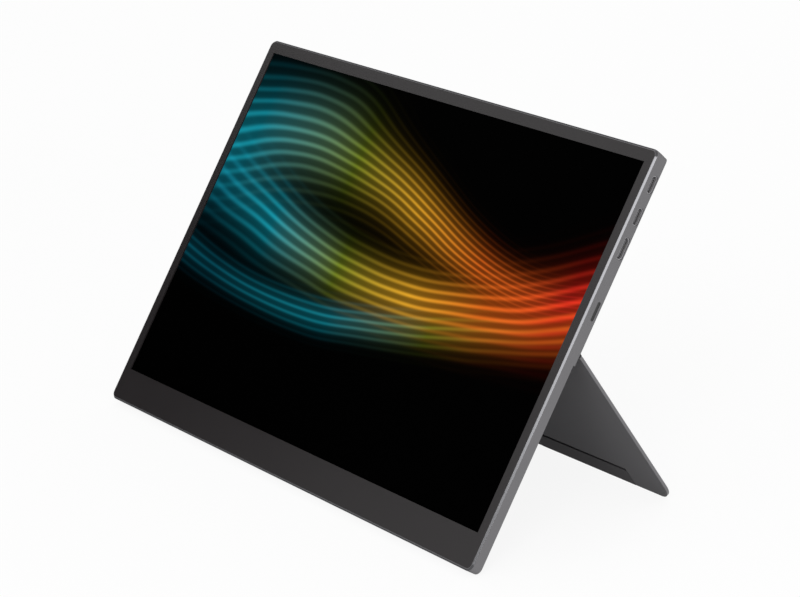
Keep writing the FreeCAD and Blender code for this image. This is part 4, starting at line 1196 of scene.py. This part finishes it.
@dataclass
class Studio:
    """A pale floor, soft light and the camera at the photograph's angle."""

    aim: Point = (0.01059, 0.01200, 0.08056)
    distance: float = 1.75145
    azimuth: float = 59.22
    elevation: float = 18.77
    roll: float = -7.33
    focal_mm: float = 152.5
    sensor_mm: float = 36.0
    clip: tuple[float, float] = (0.01, 100.0)
    floor_half: float = 12.0
    floor_steps: int = 9
    floor_glow: float = 0.9
    seen_light: float = 1.0
    cast_light: float = 0.72
    card_place: tuple[float, float] = (-0.80, -0.29)
    card_length: float = 0.48
    card_height: float = 0.49
    card_bow: float = 0.08
    card_steps: int = 13
    lamps: tuple[Softbox, ...] = (
        Softbox("key_lamp", place=(1.12, -0.92, 1.16), aim=(0.15, 0.0, 0.1), size=0.7, power=9.6),
        Softbox("back_lamp", place=(-0.9, 1.2, 1.6), aim=(0.0, 0.0, 0.1), size=1.2, power=5.0),
    )

    def build(self) -> None:
        """Set up the floor, the dark card, the lamps, the surroundings and the camera."""
        self.floor()
        self.dark_card()
        for lamp in self.lamps:
            lamp.build()
        self.surroundings()
        self.camera()
        bpy.context.scene.view_settings.view_transform = "Standard"

    def spread(self, name: str, points: np.ndarray, material: bpy.types.Material) -> bpy.types.Object:
        """An open sheet of the studio from a grid of points.

        Args:
            name: Name of the object and of its mesh.
            points: Points of shape (rows, columns, 3).
            material: The material that it shows.

        Returns:
            The object.
        """
        mesh = bpy.data.meshes.new(name)
        rows, columns, _ = points.shape
        faces = grid_faces(rows, columns, closed=False)
        mesh.from_pydata(points.reshape(-1, 3).tolist(), [], faces.tolist())
        mesh.materials.append(material)
        return linked(name, mesh)

    def floor(self) -> None:
        """A flat square grid at z = 0 with a pale, slightly uneven matt colour."""
        line = np.linspace(-self.floor_half, self.floor_half, self.floor_steps)
        across, away = np.meshgrid(line, line)
        points = np.stack([across, away, np.zeros_like(across)], axis=2)
        paper = FLOOR_PAPER.material()
        self.whiten(paper)
        floor = self.spread("studio_floor", points, paper)

    def dark_card(self) -> None:
        """A bowed dark card beside the camera's view, whose mirror image shades the bezel's lower left.

        The card stands on the floor, faces the monitor and bows back by card_bow * (1 - s * s), where s
        runs from -1 to 1 along it.
        """
        along, up = np.meshgrid(np.linspace(-1, 1, self.card_steps), np.linspace(0, 1, self.card_steps))
        reach = math.hypot(*self.card_place)
        away = np.array(self.card_place) / reach
        side = np.array([-away[1], away[0]])
        out = (reach + self.card_bow * (1 - along * along))[..., None] * away
        flat = out + (along * self.card_length / 2)[..., None] * side
        points = np.concatenate([flat, (up * self.card_height)[..., None]], axis=2)
        card = self.spread("dark_card", points, CARD_FELT.material())
        card.visible_camera = False

    def whiten(self, paper: bpy.types.Material) -> None:
        """Let the floor show mostly white to the eye, while its matt part keeps the shadow.

        Args:
            paper: The floor's material.
        """
        sheet = Sheet(paper.node_tree, keep=True)
        matt = next(node for node in sheet.tree.nodes if node.type == "BSDF_PRINCIPLED")
        leave = next(node for node in sheet.tree.nodes if node.type == "OUTPUT_MATERIAL")
        glow = sheet.add("ShaderNodeEmission")
        share = sheet.maths("MULTIPLY", self.seen(sheet), self.floor_glow)
        self.join(sheet, (share, matt.outputs["BSDF"], glow.outputs["Emission"]), leave)

    def seen(self, sheet: Sheet) -> Socket:
        """1 for rays straight from the eye, by a mirror or through glass, and 0 for others.

        Args:
            sheet: The sheet of the floor or of the surroundings.

        Returns:
            The value socket.
        """
        path = sheet.add("ShaderNodeLightPath").outputs
        either = sheet.maths("MAXIMUM", path["Is Glossy Ray"], path["Is Transmission Ray"])
        return sheet.maths("MAXIMUM", path["Is Camera Ray"], either)

    def join(self, sheet: Sheet, sources: tuple[Socket, ...], leave: bpy.types.Node) -> None:
        """Mix shaders, from a share and the two that it mixes, and lead the mix to the output node."""
        mixed = sheet.add("ShaderNodeMixShader", dict(enumerate(sources)))
        sheet.fill(leave, {"Surface": mixed.outputs[0]})

    def surroundings(self) -> None:
        """White surroundings as seen or mirrored, and a plain even light on matt surfaces."""
        world = bpy.data.worlds.new("studio_surroundings")
        bpy.context.scene.world = world
        world.use_nodes = True
        sheet = Sheet(world.node_tree)
        lights = [
            sheet.add("ShaderNodeBackground", {"Color": (*WHITE, 1.0), "Strength": strength})
            for strength in (self.cast_light, self.seen_light)
        ]
        sources = (self.seen(sheet), *(light.outputs["Background"] for light in lights))
        self.join(sheet, sources, sheet.add("ShaderNodeOutputWorld"))

    def camera(self) -> None:
        """The camera on a sphere about its aim, rolled about its own axis."""
        data = bpy.data.cameras.new("photo_camera")
        data.lens = self.focal_mm
        data.sensor_width = self.sensor_mm
        data.sensor_fit = "HORIZONTAL"
        data.clip_start, data.clip_end = self.clip
        turn = Euler((math.radians(90 - self.elevation), 0.0, math.radians(self.azimuth)))
        rolled = turn.to_matrix() @ Matrix.Rotation(math.radians(self.roll), 3, "Z")
        backward = rolled @ Vector((0.0, 0.0, 1.0))
        place = Vector(self.aim) + backward * self.distance
        camera = linked("photo_camera", data)
        camera.matrix_world = Matrix.Translation(place) @ rolled.to_4x4()
        bpy.context.scene.camera = camera


@dataclass
class PortableMonitor:
    """The whole monitor as its sub-assemblies."""

    housing: Housing = field(default_factory=Housing)
    screen: ScreenStack = field(default_factory=ScreenStack)
    electronics: Electronics = field(default_factory=Electronics)
    sockets: SideSockets = field(default_factory=SideSockets)
    stand: FoldingStand = field(default_factory=FoldingStand)

    def build(self) -> None:
        """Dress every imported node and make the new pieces."""
        for part in (self.housing, self.screen, self.electronics, self.sockets, self.stand):
            part.dress()
        for part in (self.housing, self.sockets, self.stand):
            part.build()


def main() -> None:
    """Build the monitor and the studio."""
    logging.basicConfig(level=logging.INFO, format="%(name)s: %(message)s")
    PortableMonitor().build()
    Studio().build()


if __name__ == "__main__":
    main()
